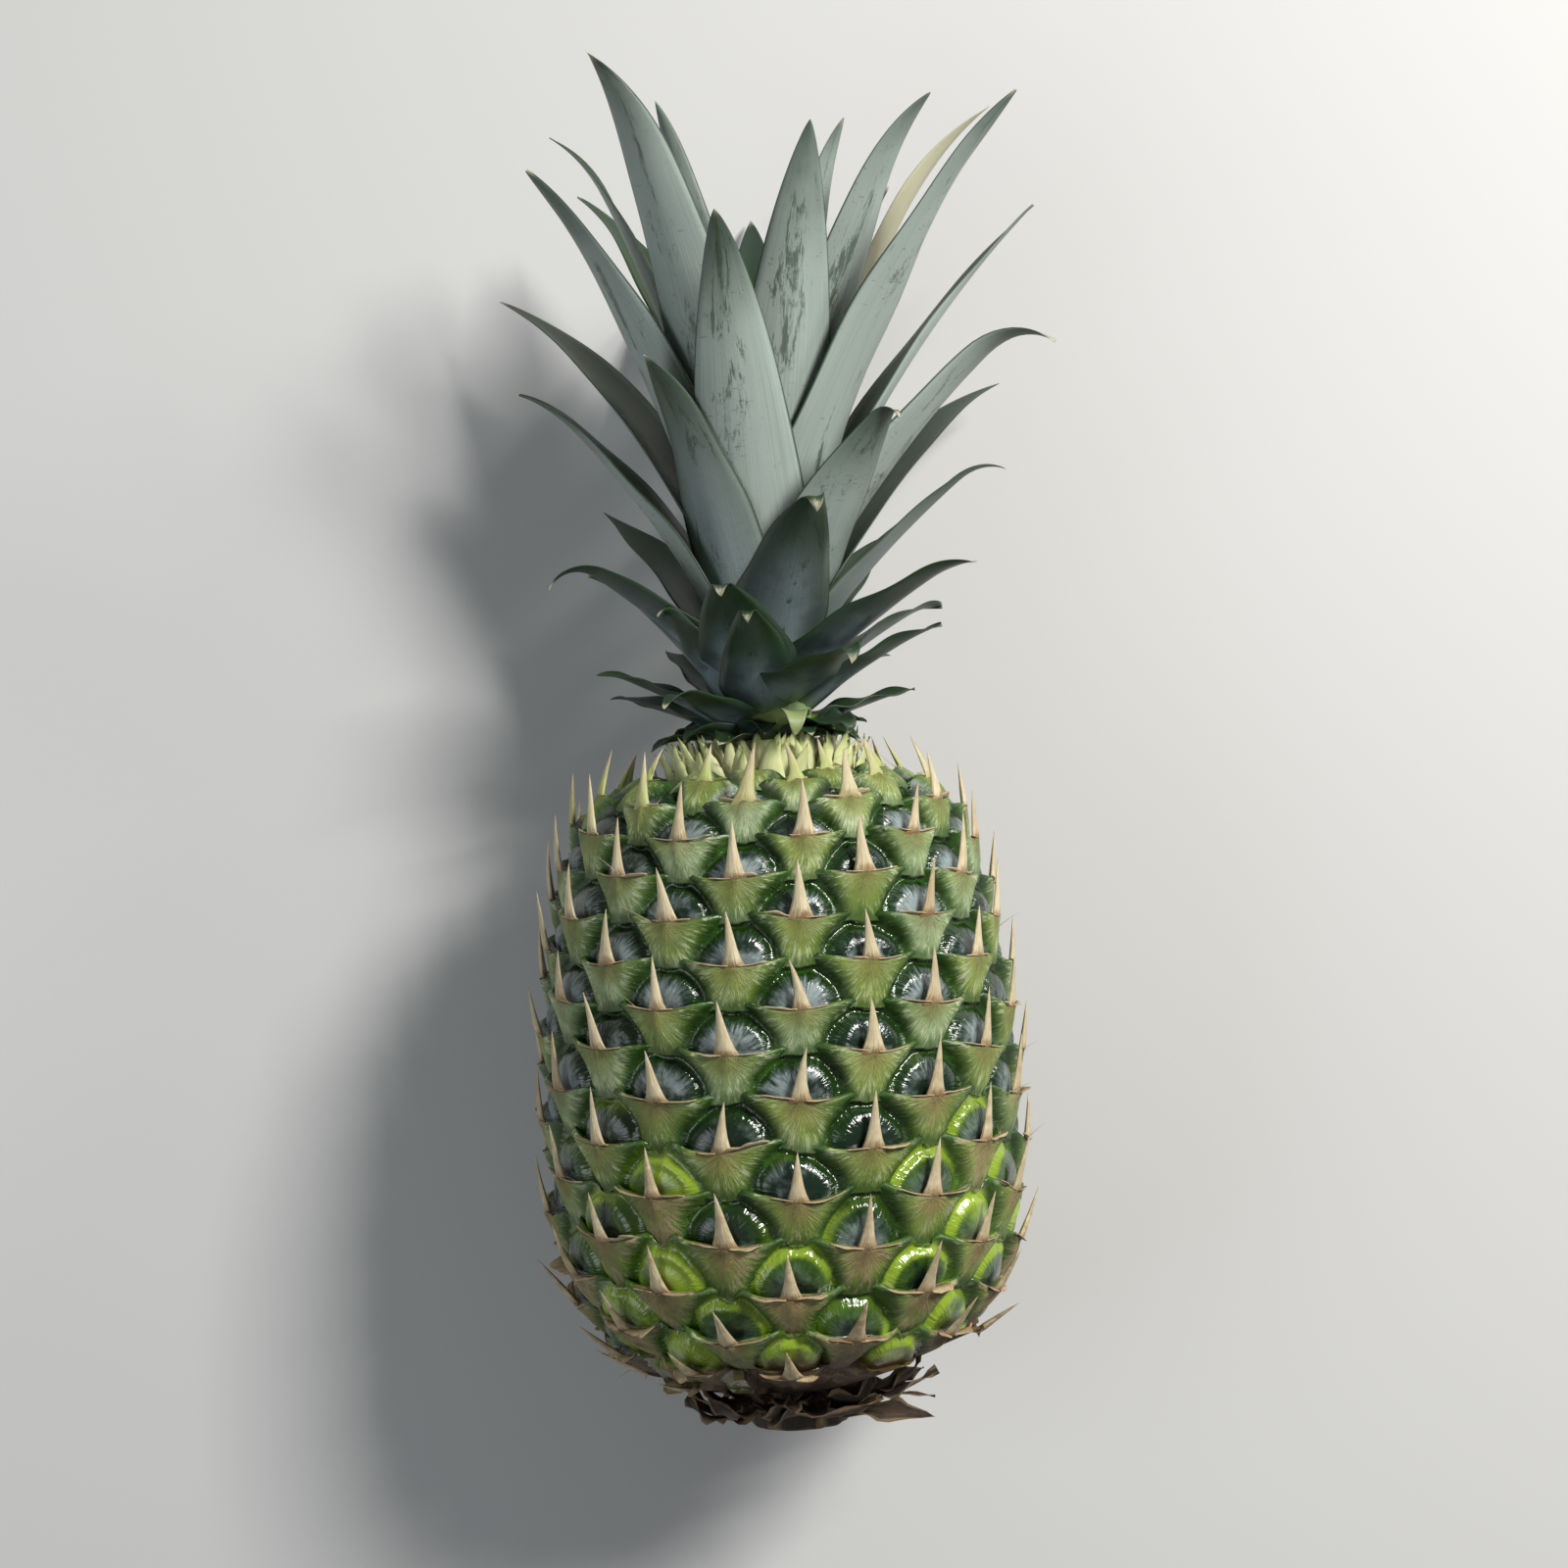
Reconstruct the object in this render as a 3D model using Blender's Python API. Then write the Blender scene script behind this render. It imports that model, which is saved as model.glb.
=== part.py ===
"""A whole ripe pineapple lying on its side, with its leafy crown.

The fruit's axis runs along Y, with the crown towards +Y and the cut stalk towards -Y, and the
fruit rests on the plane z = 0. Four solids make it up: the fruit with its spiral of spined eyes,
the pale bracts round the neck, the crown of leaves, and the stub of stalk in its dried bracts.
"""

import math
import random

import bpy
import bmesh
import numpy as np

# Fruit outline, in metres: y is measured along the axis from the fruit's middle
GIRTH_RADIUS = 0.0596
TOP_LENGTH = 0.078
TOP_TAPER = 0.15
TOP_TAPER_LENGTH = 0.060
TOP_SHOULDER_POWER = 18
WIDEST_Y = -0.006
FOOT_LENGTH = 0.072
FOOT_POWER = 2.9
FOOT_ROUNDNESS = 3
OUTLINE_SAMPLES = 4001
SLOPE_STEP = 0.0008

# Spiral of eyes: the eyes are numbered from the foot to the crown, and eye 0 is near the middle
TURN_PER_EYE = math.radians(137.2226)
FIRST_ANGLE = math.radians(-10.4)
EYE_ZERO_ARC = 0.0318
RISE_PER_EYE = 0.000982
RISE_BOW = -0.0000010776
LEAN = 0.00715
LEAN_FADE_FROM = 47
LEAN_FADE_EYES = 30
LOWEST_EYE = -100
HIGHEST_EYE = 62
SHALLOW_FAMILY = 8
SHALLOW_TURNS = 3
STEEP_FAMILY = 13
STEEP_TURNS = 5

# Relief of one eye, as heights over the green valley between the eyes
VALLEY_DEPTH = 0.0036
LIP_HEIGHT = 0.0041
DOME_HEIGHT = 0.0031
FULL_RELIEF_RADIUS = 0.045
BRACT_SWELL_POWER = 2.2
DOME_HALF_WIDTH = 0.62
DOME_HALF_HEIGHT = 0.45
DOME_CENTRE = 0.38
GROOVE_WIDTH = 0.25
SPINE_ROOT_SIZE = 0.2
GRID_FRACTIONS = (-0.5, -0.34, -0.08, 0.08, 0.34)

# Spine that stands on the middle of each eye's lip
SPINE_LENGTH = 0.0135
SPINE_TILT = math.radians(11)
SPINE_UPRIGHT = 0.55
SPINE_SPREAD = 0.1
SPINE_SHRINK_POWER = 0.7
SPINE_CEILING = 0.0835
SHORTEST_SPINE = 0.004

# Floor under the fruit: the lips that it lies on are pressed flat
PRESSED_DEPTH = 0.0021
AXIS_HEIGHT = GIRTH_RADIUS - VALLEY_DEPTH + LIP_HEIGHT - PRESSED_DEPTH

# Seats at the fruit's two ends
NECK_SEAT_Y = 0.0745
NECK_SEAT_RADIUS = 0.019
FOOT_SEAT_Y = -0.0765
FOOT_SEAT_RADIUS = 0.017
GAP = 0.0003

# Outline and arch that all blades share
ARCH_SPREAD = 0.30
FULL_WIDTH_STEP = 0.3
TIP_FULLNESS = 0.8

# Neck bracts
NECK_RADIUS = 0.0155
NECK_TOP_Y = 0.0838
NECK_SIDES = 20
NECK_ROWS = 2
NECK_ROW_BRACTS = 13
NECK_FIRST_ROOT = 0.0012
NECK_ROOT_STEP = 0.0030
NECK_TIP_Y = 0.0826
NECK_TIP_STEP = 0.0010
NECK_LIFT = 0.35
NECK_BRACT_WIDTH = 0.0075
NECK_BRACT_REACH = 0.0225
NECK_BRACT_STATIONS = 3
BRACT_SINK = 0.0018
BRACT_THICKNESS = 0.0010
BRACT_ROOT_SHARE = 0.55

# Crown
CROWN_FOOT_Y = NECK_TOP_Y + GAP
CROWN_LEAN = math.radians(3)
CROWN_LEAVES = 54
CROWN_TURN = math.radians(-137.508)
FRONT_LEAF = 22
FRONT_LEAF_ANGLE = math.radians(8)
CORE_FOOT_RADIUS = 0.0130
CORE_TOP_RADIUS = 0.0045
CORE_LENGTH = 0.060
CORE_SIDES = 14
ROOT_SINK = 0.0025
LEAF_FIRST_Y = 0.0012
LEAF_LAST_Y = 0.0540
LEAF_CROWDING = 1.6
LEAF_THICKNESS = 0.0011
LEAF_STATIONS = 5
LEAF_ROOT_SHARE = 0.38
SWAY = math.radians(3)
OUTER_LIFT = 0.42
INNER_LIFT = 0.60
ROOT_CHANNEL = 0.42
TIP_CHANNEL = 0.20
CROWN_SEED = 7
FLOOR_CLEARANCE = 0.003

# Leaf number against tip height over the crown's foot, reach from its axis, and width
TIP_HEIGHT = ((0, 0.005), (9, 0.024), (17, 0.036), (22, 0.056), (27, 0.085), (33, 0.132), (39, 0.166),
              (43, 0.138), (53, 0.095))
TIP_REACH = ((0, 0.036), (9, 0.043), (17, 0.050), (22, 0.054), (27, 0.060), (33, 0.064), (39, 0.066),
             (43, 0.040), (53, 0.012))
LEAF_WIDTH = ((0, 0.015), (9, 0.021), (17, 0.026), (25, 0.029), (33, 0.031), (42, 0.024), (53, 0.011))

# Leaves that grew out of line: number against added turn in degrees, reach and tip height
WAYWARD_LEAVES = {
    2: (0, 0.046, 0.014),
    6: (0, 0.031, 0.003),
    12: (0, 0.029, 0.033),
    14: (0, 0.050, 0.021),
    15: (0, 0.047, 0.046),
    17: (10, 0.048, 0.037),
    19: (0, 0.059, 0.043),
    22: (4, 0.052, 0.057),
    25: (0, 0.037, 0.096),
    27: (0, 0.046, 0.078),
    29: (0, 0.074, 0.094),
    30: (-1, 0.052, 0.126),
    32: (0, 0.068, 0.101),
    33: (0, 0.061, 0.142),
    35: (-6, 0.050, 0.146),
    36: (0, 0.074, 0.120),
    37: (0, 0.071, 0.133),
    38: (0, 0.070, 0.166),
    40: (0, 0.074, 0.152),
    41: (0, 0.050, 0.155),
}

# Stalk and its dried bracts, where a pair of numbers is a range to draw from
STALK_RADIUS = 0.0125
STALK_END_RADIUS = 0.0115
STALK_COLLAR_RADIUS = 0.0140
STALK_COLLAR_HEIGHT = 0.0040
STALK_END_Y = -0.0870
STALK_SIDES = 18
STALK_SEED = 11
DRIED_BRACTS = 12
DRIED_BRACT_STATIONS = 4
DRIED_FIRST_ROOT = 0.0025
DRIED_ROOT_STEP = 0.0030
DRIED_REACH = (0.030, 0.040)
DRIED_DROP = (0.0035, 0.0075)
DRIED_LIFT = (0.7, 1.3)
DRIED_WIDTH = (0.010, 0.013)


def clear_scene():
    for thing in list(bpy.data.objects):
        bpy.data.objects.remove(thing, do_unlink=True)


def outline_radius(y):
    """Radius of the fruit's outline at y: a tapered barrel with a sharp shoulder and a round foot."""
    above = np.clip(y, 0, TOP_LENGTH)
    taper = 1 - TOP_TAPER * (above / TOP_TAPER_LENGTH) ** 2
    shoulder = np.sqrt(np.clip(1 - (above / TOP_LENGTH) ** TOP_SHOULDER_POWER, 0, 1))
    below = np.clip((WIDEST_Y - y) / FOOT_LENGTH, 0, 1)
    foot = (1 - below ** FOOT_POWER) ** (1 / FOOT_ROUNDNESS)
    return GIRTH_RADIUS * taper * shoulder * foot


OUTLINE_Y = np.linspace(WIDEST_Y - FOOT_LENGTH, TOP_LENGTH, OUTLINE_SAMPLES)
OUTLINE_R = outline_radius(OUTLINE_Y)
OUTLINE_ARC = np.concatenate([[0], np.cumsum(np.hypot(np.diff(OUTLINE_Y), np.diff(OUTLINE_R)))])
OUTLINE_ARC -= np.interp(0, OUTLINE_Y, OUTLINE_ARC)


def eye_place(number, angle):
    """Distance along the outline of a point of the spiral, which leans to one side of the fruit."""
    fade = np.clip((number - LEAN_FADE_FROM) / LEAN_FADE_EYES, 0, 1)
    lean = LEAN * (1 - fade)
    return EYE_ZERO_ARC + RISE_PER_EYE * number + RISE_BOW * number ** 2 + lean * np.sin(angle)


def outline_frame(arc, angle):
    """Point on the outline with its outward normal and its tangent towards the crown."""
    y = np.interp(arc, OUTLINE_ARC, OUTLINE_Y)
    radius = np.interp(arc, OUTLINE_ARC, OUTLINE_R)
    after = arc + SLOPE_STEP
    before = arc - SLOPE_STEP
    slope_y = np.interp(after, OUTLINE_ARC, OUTLINE_Y) - np.interp(before, OUTLINE_ARC, OUTLINE_Y)
    slope_r = np.interp(after, OUTLINE_ARC, OUTLINE_R) - np.interp(before, OUTLINE_ARC, OUTLINE_R)
    size = np.hypot(slope_y, slope_r)
    slope_y = slope_y / size
    slope_r = slope_r / size
    across = np.sin(angle)
    up = np.cos(angle)
    point = np.stack([radius * across, y, radius * up], -1)
    normal = np.stack([slope_y * across, -slope_r, slope_y * up], -1)
    tangent = np.stack([slope_r * across, slope_y, slope_r * up], -1)
    return point, normal, tangent


def eye_relief(along_shallow, along_steep):
    """Height over the valley inside one diamond cell, whose coordinates run from -0.5 to 0.5.

    Below the middle the bract rises from the valley to its lip, and above it stands the dome,
    which the root of the spine cuts into.
    """
    sideways = along_shallow - along_steep
    upwards = along_shallow + along_steep
    from_edge = 1 - np.abs(sideways) - np.abs(upwards)
    bract = LIP_HEIGHT * (1 - (1 - from_edge) ** BRACT_SWELL_POWER)
    reach = (sideways / DOME_HALF_WIDTH) ** 2 + ((upwards - DOME_CENTRE) / DOME_HALF_HEIGHT) ** 2
    dome = DOME_HEIGHT * np.sqrt(np.clip(1 - reach, 0, 1)) * np.clip(from_edge / GROOVE_WIDTH, 0, 1)
    dome = np.where(np.hypot(sideways, upwards) < SPINE_ROOT_SIZE, bract, dome)
    return np.where(upwards <= 0, bract, dome)


def grid_value(step):
    """Lattice coordinate of a grid line: the grid has a few uneven lines in each cell."""
    cell = np.floor_divide(step, len(GRID_FRACTIONS))
    return cell + np.array(GRID_FRACTIONS)[step - cell * len(GRID_FRACTIONS)]


def spiral_angle(shallow, steep):
    shallow_turn = SHALLOW_FAMILY * TURN_PER_EYE - SHALLOW_TURNS * math.tau
    steep_turn = STEEP_FAMILY * TURN_PER_EYE - STEEP_TURNS * math.tau
    return FIRST_ANGLE + shallow_turn * shallow + steep_turn * steep


def rind_vertices(keys):
    """Positions of the grid's crossings, given as pairs of whole steps along the two families."""
    steps = np.array(keys)
    shallow = grid_value(steps[:, 0])
    steep = grid_value(steps[:, 1])
    angle = spiral_angle(shallow, steep)
    number = SHALLOW_FAMILY * shallow + STEEP_FAMILY * steep
    point, normal, _ = outline_frame(eye_place(number, angle), angle)
    relief = eye_relief(shallow - np.floor(shallow + 0.5), steep - np.floor(steep + 0.5))
    size = np.clip(np.hypot(point[:, 0], point[:, 2]) / FULL_RELIEF_RADIUS, 0, 1)
    return point + normal * ((relief - VALLEY_DEPTH) * size)[:, None]


def spine_tip(number, angle):
    """Tip of an eye's spine, or None where it has no room."""
    point, normal, tangent = outline_frame(eye_place(number, angle), angle)
    size = min(1.0, math.hypot(point[0], point[2]) / FULL_RELIEF_RADIUS)
    root = point + normal * (LIP_HEIGHT - VALLEY_DEPTH) * size
    way = tangent + normal * math.tan(SPINE_TILT)
    if point[1] > 0:
        way = way * (1 - SPINE_UPRIGHT) + np.array([0, 1, 0]) * SPINE_UPRIGHT + normal * SPINE_SPREAD
    way = way / np.linalg.norm(way)
    length = SPINE_LENGTH * size ** SPINE_SHRINK_POWER
    if way[1] > 0:
        length = min(length, (SPINE_CEILING - root[1]) / way[1])
    tip = root + way * length
    pressed = tip[2] < GAP - AXIS_HEIGHT
    if pressed or length < SHORTEST_SPINE:
        return None
    return tip


def cell_of_eye(number):
    """Whole steps along the shallow and the steep family that lead to an eye."""
    shallow = STEEP_TURNS * number % STEEP_FAMILY
    return shallow, (number - SHALLOW_FAMILY * shallow) // STEEP_FAMILY


def canonical(key):
    """The spiral closes on itself: one trip round the fruit is 13 cells one way and 8 the other."""
    lines = len(GRID_FRACTIONS)
    turns = key[1] // (SHALLOW_FAMILY * lines)
    return key[0] + STEEP_FAMILY * lines * turns, key[1] - SHALLOW_FAMILY * lines * turns


def close_end(mesh, ring_edges, seat_y, seat_radius):
    """Close an open end of the rind with a slope down to a flat round seat."""
    ring = {}
    for edge in ring_edges:
        for vertex in edge.verts:
            if vertex not in ring:
                spread = math.hypot(vertex.co.x, vertex.co.z)
                scale = seat_radius / spread
                ring[vertex] = mesh.verts.new((vertex.co.x * scale, seat_y, vertex.co.z * scale))
    centre = mesh.verts.new((0, seat_y, 0))
    for edge in ring_edges:
        first, second = edge.verts
        mesh.faces.new((first, second, ring[second]))
        mesh.faces.new((first, ring[second], ring[first]))
        mesh.faces.new((ring[first], ring[second], centre))


def build_fruit():
    """The rind is one net of small triangles, several to a cell, with a pyramid for each spine."""
    lines = len(GRID_FRACTIONS)
    middle = lines // 2
    order = {}
    squares = []
    for number in range(LOWEST_EYE, HIGHEST_EYE + 1):
        shallow, steep = cell_of_eye(number)
        tip = spine_tip(number, spiral_angle(shallow, steep))
        for column in range(lines):
            for row in range(lines):
                corners = []
                for offset in ((0, 0), (1, 0), (1, 1), (0, 1)):
                    key = canonical((shallow * lines + column + offset[0], steep * lines + row + offset[1]))
                    corners.append(order.setdefault(key, len(order)))
                stands_on = column == middle and row == middle
                squares.append((corners, tip if stands_on else None))
    mesh = bmesh.new()
    vertices = [mesh.verts.new(place) for place in rind_vertices(list(order))]
    for corners, tip in squares:
        near, right, far, left = (vertices[corner] for corner in corners)
        if tip is None:
            mesh.faces.new((near, right, left))
            mesh.faces.new((right, far, left))
            continue
        apex = mesh.verts.new(tip)
        for first, second in ((near, right), (right, far), (far, left), (left, near)):
            mesh.faces.new((first, second, apex))
    open_edges = [edge for edge in mesh.edges if edge.is_boundary]
    close_end(mesh, [edge for edge in open_edges if edge.verts[0].co.y > 0], NECK_SEAT_Y, NECK_SEAT_RADIUS)
    close_end(mesh, [edge for edge in open_edges if edge.verts[0].co.y < 0], FOOT_SEAT_Y, FOOT_SEAT_RADIUS)
    bmesh.ops.recalc_face_normals(mesh, faces=mesh.faces)
    for vertex in mesh.verts:
        vertex.co.z = max(vertex.co.z + AXIS_HEIGHT, 0)
    return new_object("fruit", mesh)


def new_object(name, mesh):
    data = bpy.data.meshes.new(name)
    mesh.to_mesh(data)
    mesh.free()
    thing = bpy.data.objects.new(name, data)
    bpy.context.scene.collection.objects.link(thing)
    return thing


def turned_core(name, profile, sides):
    """Solid of revolution about the fruit's axis from (radius, y) pairs, closed at both ends."""
    mesh = bmesh.new()
    rings = []
    for radius, y in profile:
        ring = []
        for side in range(sides):
            angle = math.tau * side / sides
            ring.append(mesh.verts.new((radius * math.sin(angle), y, radius * math.cos(angle))))
        rings.append(ring)
    for lower, upper in zip(rings, rings[1:]):
        for side in range(sides):
            after = (side + 1) % sides
            mesh.faces.new((lower[side], lower[after], upper[after], upper[side]))
    mesh.faces.new(rings[0])
    mesh.faces.new(rings[-1])
    bmesh.ops.recalc_face_normals(mesh, faces=mesh.faces)
    return new_object(name, mesh)


def blade(name, path, angles, half_widths, sags, thickness):
    """Closed thin blade: stations of three points across, alike on both faces, ending in a point.

    path holds (radius, y) at each station and angles the azimuth there. The blade is hollow
    towards the axis: its edges stand closer to the axis than its middle by the station's sag.
    """
    path = np.array(path)
    slope = np.gradient(path, axis=0)
    slope /= np.linalg.norm(slope, axis=1)[:, None]
    mesh = bmesh.new()
    rings = []
    for station, (radius, y) in enumerate(path[:-1]):
        across = np.array([math.sin(angles[station]), 0, math.cos(angles[station])])
        side = np.array([math.cos(angles[station]), 0, -math.sin(angles[station])])
        outward = across * slope[station][1] + np.array([0, -slope[station][0], 0])
        centre = across * radius + np.array([0, y, 0])
        ring = []
        for place, face in ((-1, 1), (0, 1), (1, 1), (1, -1), (0, -1), (-1, -1)):
            depth = face * thickness / 2 - abs(place) * sags[station]
            ring.append(mesh.verts.new(centre + side * place * half_widths[station] + outward * depth))
        rings.append(ring)
    radius, y = path[-1]
    tip = mesh.verts.new((radius * math.sin(angles[-1]), y, radius * math.cos(angles[-1])))
    for lower, upper in zip(rings, rings[1:]):
        for first in range(6):
            second = (first + 1) % 6
            leans_to_first = first in (0, 3)
            if leans_to_first:
                mesh.faces.new((lower[first], lower[second], upper[second]))
                mesh.faces.new((lower[first], upper[second], upper[first]))
            else:
                mesh.faces.new((lower[first], lower[second], upper[first]))
                mesh.faces.new((lower[second], upper[second], upper[first]))
    for first in range(6):
        mesh.faces.new((rings[-1][first], rings[-1][(first + 1) % 6], tip))
    root = rings[0]
    mesh.faces.new((root[0], root[5], root[4], root[1]))
    mesh.faces.new((root[1], root[4], root[3], root[2]))
    bmesh.ops.recalc_face_normals(mesh, faces=mesh.faces)
    return new_object(name, mesh)


def keep_main_body(data):
    """Fill the hollows that joining sealed, by dropping every shell but the one with the most faces."""
    mesh = bmesh.new()
    mesh.from_mesh(data)
    waiting = set(mesh.verts)
    shells = []
    while waiting:
        shell = set()
        edge_of_shell = [waiting.pop()]
        while edge_of_shell:
            vertex = edge_of_shell.pop()
            shell.add(vertex)
            for edge in vertex.link_edges:
                other = edge.other_vert(vertex)
                if other in waiting:
                    waiting.remove(other)
                    edge_of_shell.append(other)
        shells.append(shell)
    shells.sort(key=len)
    for shell in shells[:-1]:
        bmesh.ops.delete(mesh, geom=list(shell), context="VERTS")
    mesh.to_mesh(data)
    mesh.free()


def fuse(core, blades):
    """Join the blades to their core as one body, and remove the loose blades."""
    bunch = bpy.data.collections.new(core.name + "_blades")
    for piece in blades:
        bunch.objects.link(piece)
    union = core.modifiers.new("union", "BOOLEAN")
    union.operation = "UNION"
    union.operand_type = "COLLECTION"
    union.collection = bunch
    union.solver = "EXACT"
    bpy.context.view_layer.update()
    graph = bpy.context.evaluated_depsgraph_get()
    joined = bpy.data.meshes.new_from_object(core.evaluated_get(graph))
    core.modifiers.remove(union)
    core.data = joined
    keep_main_body(core.data)
    for piece in blades:
        bpy.data.objects.remove(piece, do_unlink=True)
    bpy.data.collections.remove(bunch)
    return core


def curve_value(table, number):
    places, values = zip(*table)
    return float(np.interp(number, places, values))


def arched_path(start, end, lift, stations):
    """Points from start to end in (radius, y), rising along the axis first and then opening out."""
    start = np.array(start)
    end = np.array(end)
    bend = start + (end - start) * np.array([ARCH_SPREAD, lift])
    steps = np.linspace(0, 1, stations)[:, None]
    return (1 - steps) ** 2 * start + 2 * steps * (1 - steps) * bend + steps ** 2 * end


def lance_shape(steps, root_share):
    """Share of a blade's full width at each step from root to tip."""
    swell = np.sin(math.pi / 2 * np.minimum(steps / FULL_WIDTH_STEP, 1))
    return (1 - steps ** 2) ** TIP_FULLNESS * (root_share + (1 - root_share) * swell)


def build_crown():
    """Leaves on a mirrored golden-angle spiral round a short core, longer and steeper inwards."""
    draw = random.Random(CROWN_SEED)
    core = turned_core("crown", ((CORE_FOOT_RADIUS, CROWN_FOOT_Y),
                                 (CORE_TOP_RADIUS, CROWN_FOOT_Y + CORE_LENGTH)), CORE_SIDES)
    steps = np.linspace(0, 1, LEAF_STATIONS)
    leaves = []
    for number in range(CROWN_LEAVES):
        share = number / (CROWN_LEAVES - 1)
        foot = LEAF_FIRST_Y + (LEAF_LAST_Y - LEAF_FIRST_Y) * share ** LEAF_CROWDING
        core_radius = CORE_FOOT_RADIUS + (CORE_TOP_RADIUS - CORE_FOOT_RADIUS) * foot / CORE_LENGTH
        usual = (0, curve_value(TIP_REACH, number), curve_value(TIP_HEIGHT, number))
        turn, reach, height = WAYWARD_LEAVES.get(number, usual)
        angle = FRONT_LEAF_ANGLE + CROWN_TURN * (number - FRONT_LEAF) + math.radians(turn)
        downwards = -math.cos(angle)
        if downwards > 0:
            reach = min(reach, (AXIS_HEIGHT - FLOOR_CLEARANCE) / downwards)
        lift = OUTER_LIFT + (INNER_LIFT - OUTER_LIFT) * share
        path = arched_path((core_radius - ROOT_SINK, foot), (reach, height), lift, LEAF_STATIONS)
        path[:, 1] += CROWN_FOOT_Y
        sway = draw.uniform(-SWAY, SWAY)
        half = curve_value(LEAF_WIDTH, number) / 2 * lance_shape(steps, LEAF_ROOT_SHARE)
        sags = half * (ROOT_CHANNEL + (TIP_CHANNEL - ROOT_CHANNEL) * steps)
        leaves.append(blade(f"leaf_{number}", path, angle + sway * steps ** 2, half, sags, LEAF_THICKNESS))
    crown = fuse(core, leaves)
    for vertex in crown.data.vertices:
        vertex.co.x += (vertex.co.y - CROWN_FOOT_Y) * math.tan(CROWN_LEAN)
        vertex.co.z += AXIS_HEIGHT
    return crown


def build_neck_bracts():
    """Two rows of short pale bracts round the drum that the crown stands on."""
    drum = ((NECK_RADIUS, NECK_SEAT_Y + GAP), (NECK_RADIUS, NECK_TOP_Y))
    core = turned_core("neck_bracts", drum, NECK_SIDES)
    steps = np.linspace(0, 1, NECK_BRACT_STATIONS)
    bracts = []
    for row in range(NECK_ROWS):
        start = (NECK_RADIUS - BRACT_SINK, NECK_SEAT_Y + NECK_FIRST_ROOT + NECK_ROOT_STEP * row)
        end = (NECK_BRACT_REACH - NECK_ROOT_STEP * row, NECK_TIP_Y + NECK_TIP_STEP * row)
        path = arched_path(start, end, NECK_LIFT, NECK_BRACT_STATIONS)
        half = NECK_BRACT_WIDTH / 2 * lance_shape(steps, BRACT_ROOT_SHARE)
        for number in range(NECK_ROW_BRACTS):
            angle = math.tau * (number + row / 2) / NECK_ROW_BRACTS
            bracts.append(blade(f"bract_{row}_{number}", path, np.full(len(steps), angle), half,
                                half * TIP_CHANNEL, BRACT_THICKNESS))
    neck = fuse(core, bracts)
    for vertex in neck.data.vertices:
        vertex.co.z += AXIS_HEIGHT
    return neck


def build_stalk():
    """Stub of the cut stalk, with dried bracts that stand out round it and curl."""
    draw = random.Random(STALK_SEED)
    stub = ((STALK_COLLAR_RADIUS, FOOT_SEAT_Y - GAP), (STALK_RADIUS, FOOT_SEAT_Y - STALK_COLLAR_HEIGHT),
            (STALK_END_RADIUS, STALK_END_Y))
    core = turned_core("stalk", stub, STALK_SIDES)
    steps = np.linspace(0, 1, DRIED_BRACT_STATIONS)
    bracts = []
    for number in range(DRIED_BRACTS):
        angle = math.tau * (number + draw.uniform(-0.25, 0.25)) / DRIED_BRACTS
        root_y = FOOT_SEAT_Y - DRIED_FIRST_ROOT - DRIED_ROOT_STEP * (number % 2)
        end = (draw.uniform(*DRIED_REACH), FOOT_SEAT_Y - draw.uniform(*DRIED_DROP))
        path = arched_path((STALK_RADIUS - BRACT_SINK, root_y), end, draw.uniform(*DRIED_LIFT), len(steps))
        half = draw.uniform(*DRIED_WIDTH) / 2 * lance_shape(steps, BRACT_ROOT_SHARE)
        sway = draw.uniform(-0.2, 0.2)
        bracts.append(blade(f"dried_{number}", path, angle + sway * steps, half, half * TIP_CHANNEL,
                            BRACT_THICKNESS))
    stalk = fuse(core, bracts)
    for vertex in stalk.data.vertices:
        vertex.co.z += AXIS_HEIGHT
    return stalk


def paint(thing, colour, roughness):
    """One plain surface for the whole piece."""
    material = bpy.data.materials.new(thing.name)
    material.use_nodes = True
    shader = next(node for node in material.node_tree.nodes if node.type == "BSDF_PRINCIPLED")
    shader.inputs["Base Color"].default_value = (*colour, 1)
    shader.inputs["Roughness"].default_value = roughness
    shader.inputs["Metallic"].default_value = 0
    thing.data.materials.clear()
    thing.data.materials.append(material)


def centre_on_origin(things):
    """Slide the whole pineapple on its floor until the box round it is centred on the origin."""
    places = np.concatenate([[tuple(vertex.co) for vertex in thing.data.vertices] for thing in things])
    middle = (places.min(axis=0) + places.max(axis=0)) / 2
    for thing in things:
        for vertex in thing.data.vertices:
            vertex.co.x -= middle[0]
            vertex.co.y -= middle[1]


def main():
    clear_scene()
    fruit = build_fruit()
    neck = build_neck_bracts()
    crown = build_crown()
    stalk = build_stalk()
    paint(fruit, (0.10, 0.17, 0.05), 0.35)
    paint(neck, (0.55, 0.60, 0.22), 0.55)
    paint(crown, (0.22, 0.30, 0.26), 0.50)
    paint(stalk, (0.20, 0.13, 0.07), 0.80)
    centre_on_origin([fruit, neck, crown, stalk])


main()
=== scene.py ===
"""The looks of a whole pineapple that lies on its side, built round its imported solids.

The rind, its spines and papery lips, the neck, the crown and the stalk are surfaces of two
parameters, worked out as whole arrays and placed where the solids are. Lengths are in metres.
The fruit's axis runs along Y with the crown at +Y, and y is measured from the fruit's middle.
"""

import math
import random

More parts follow.
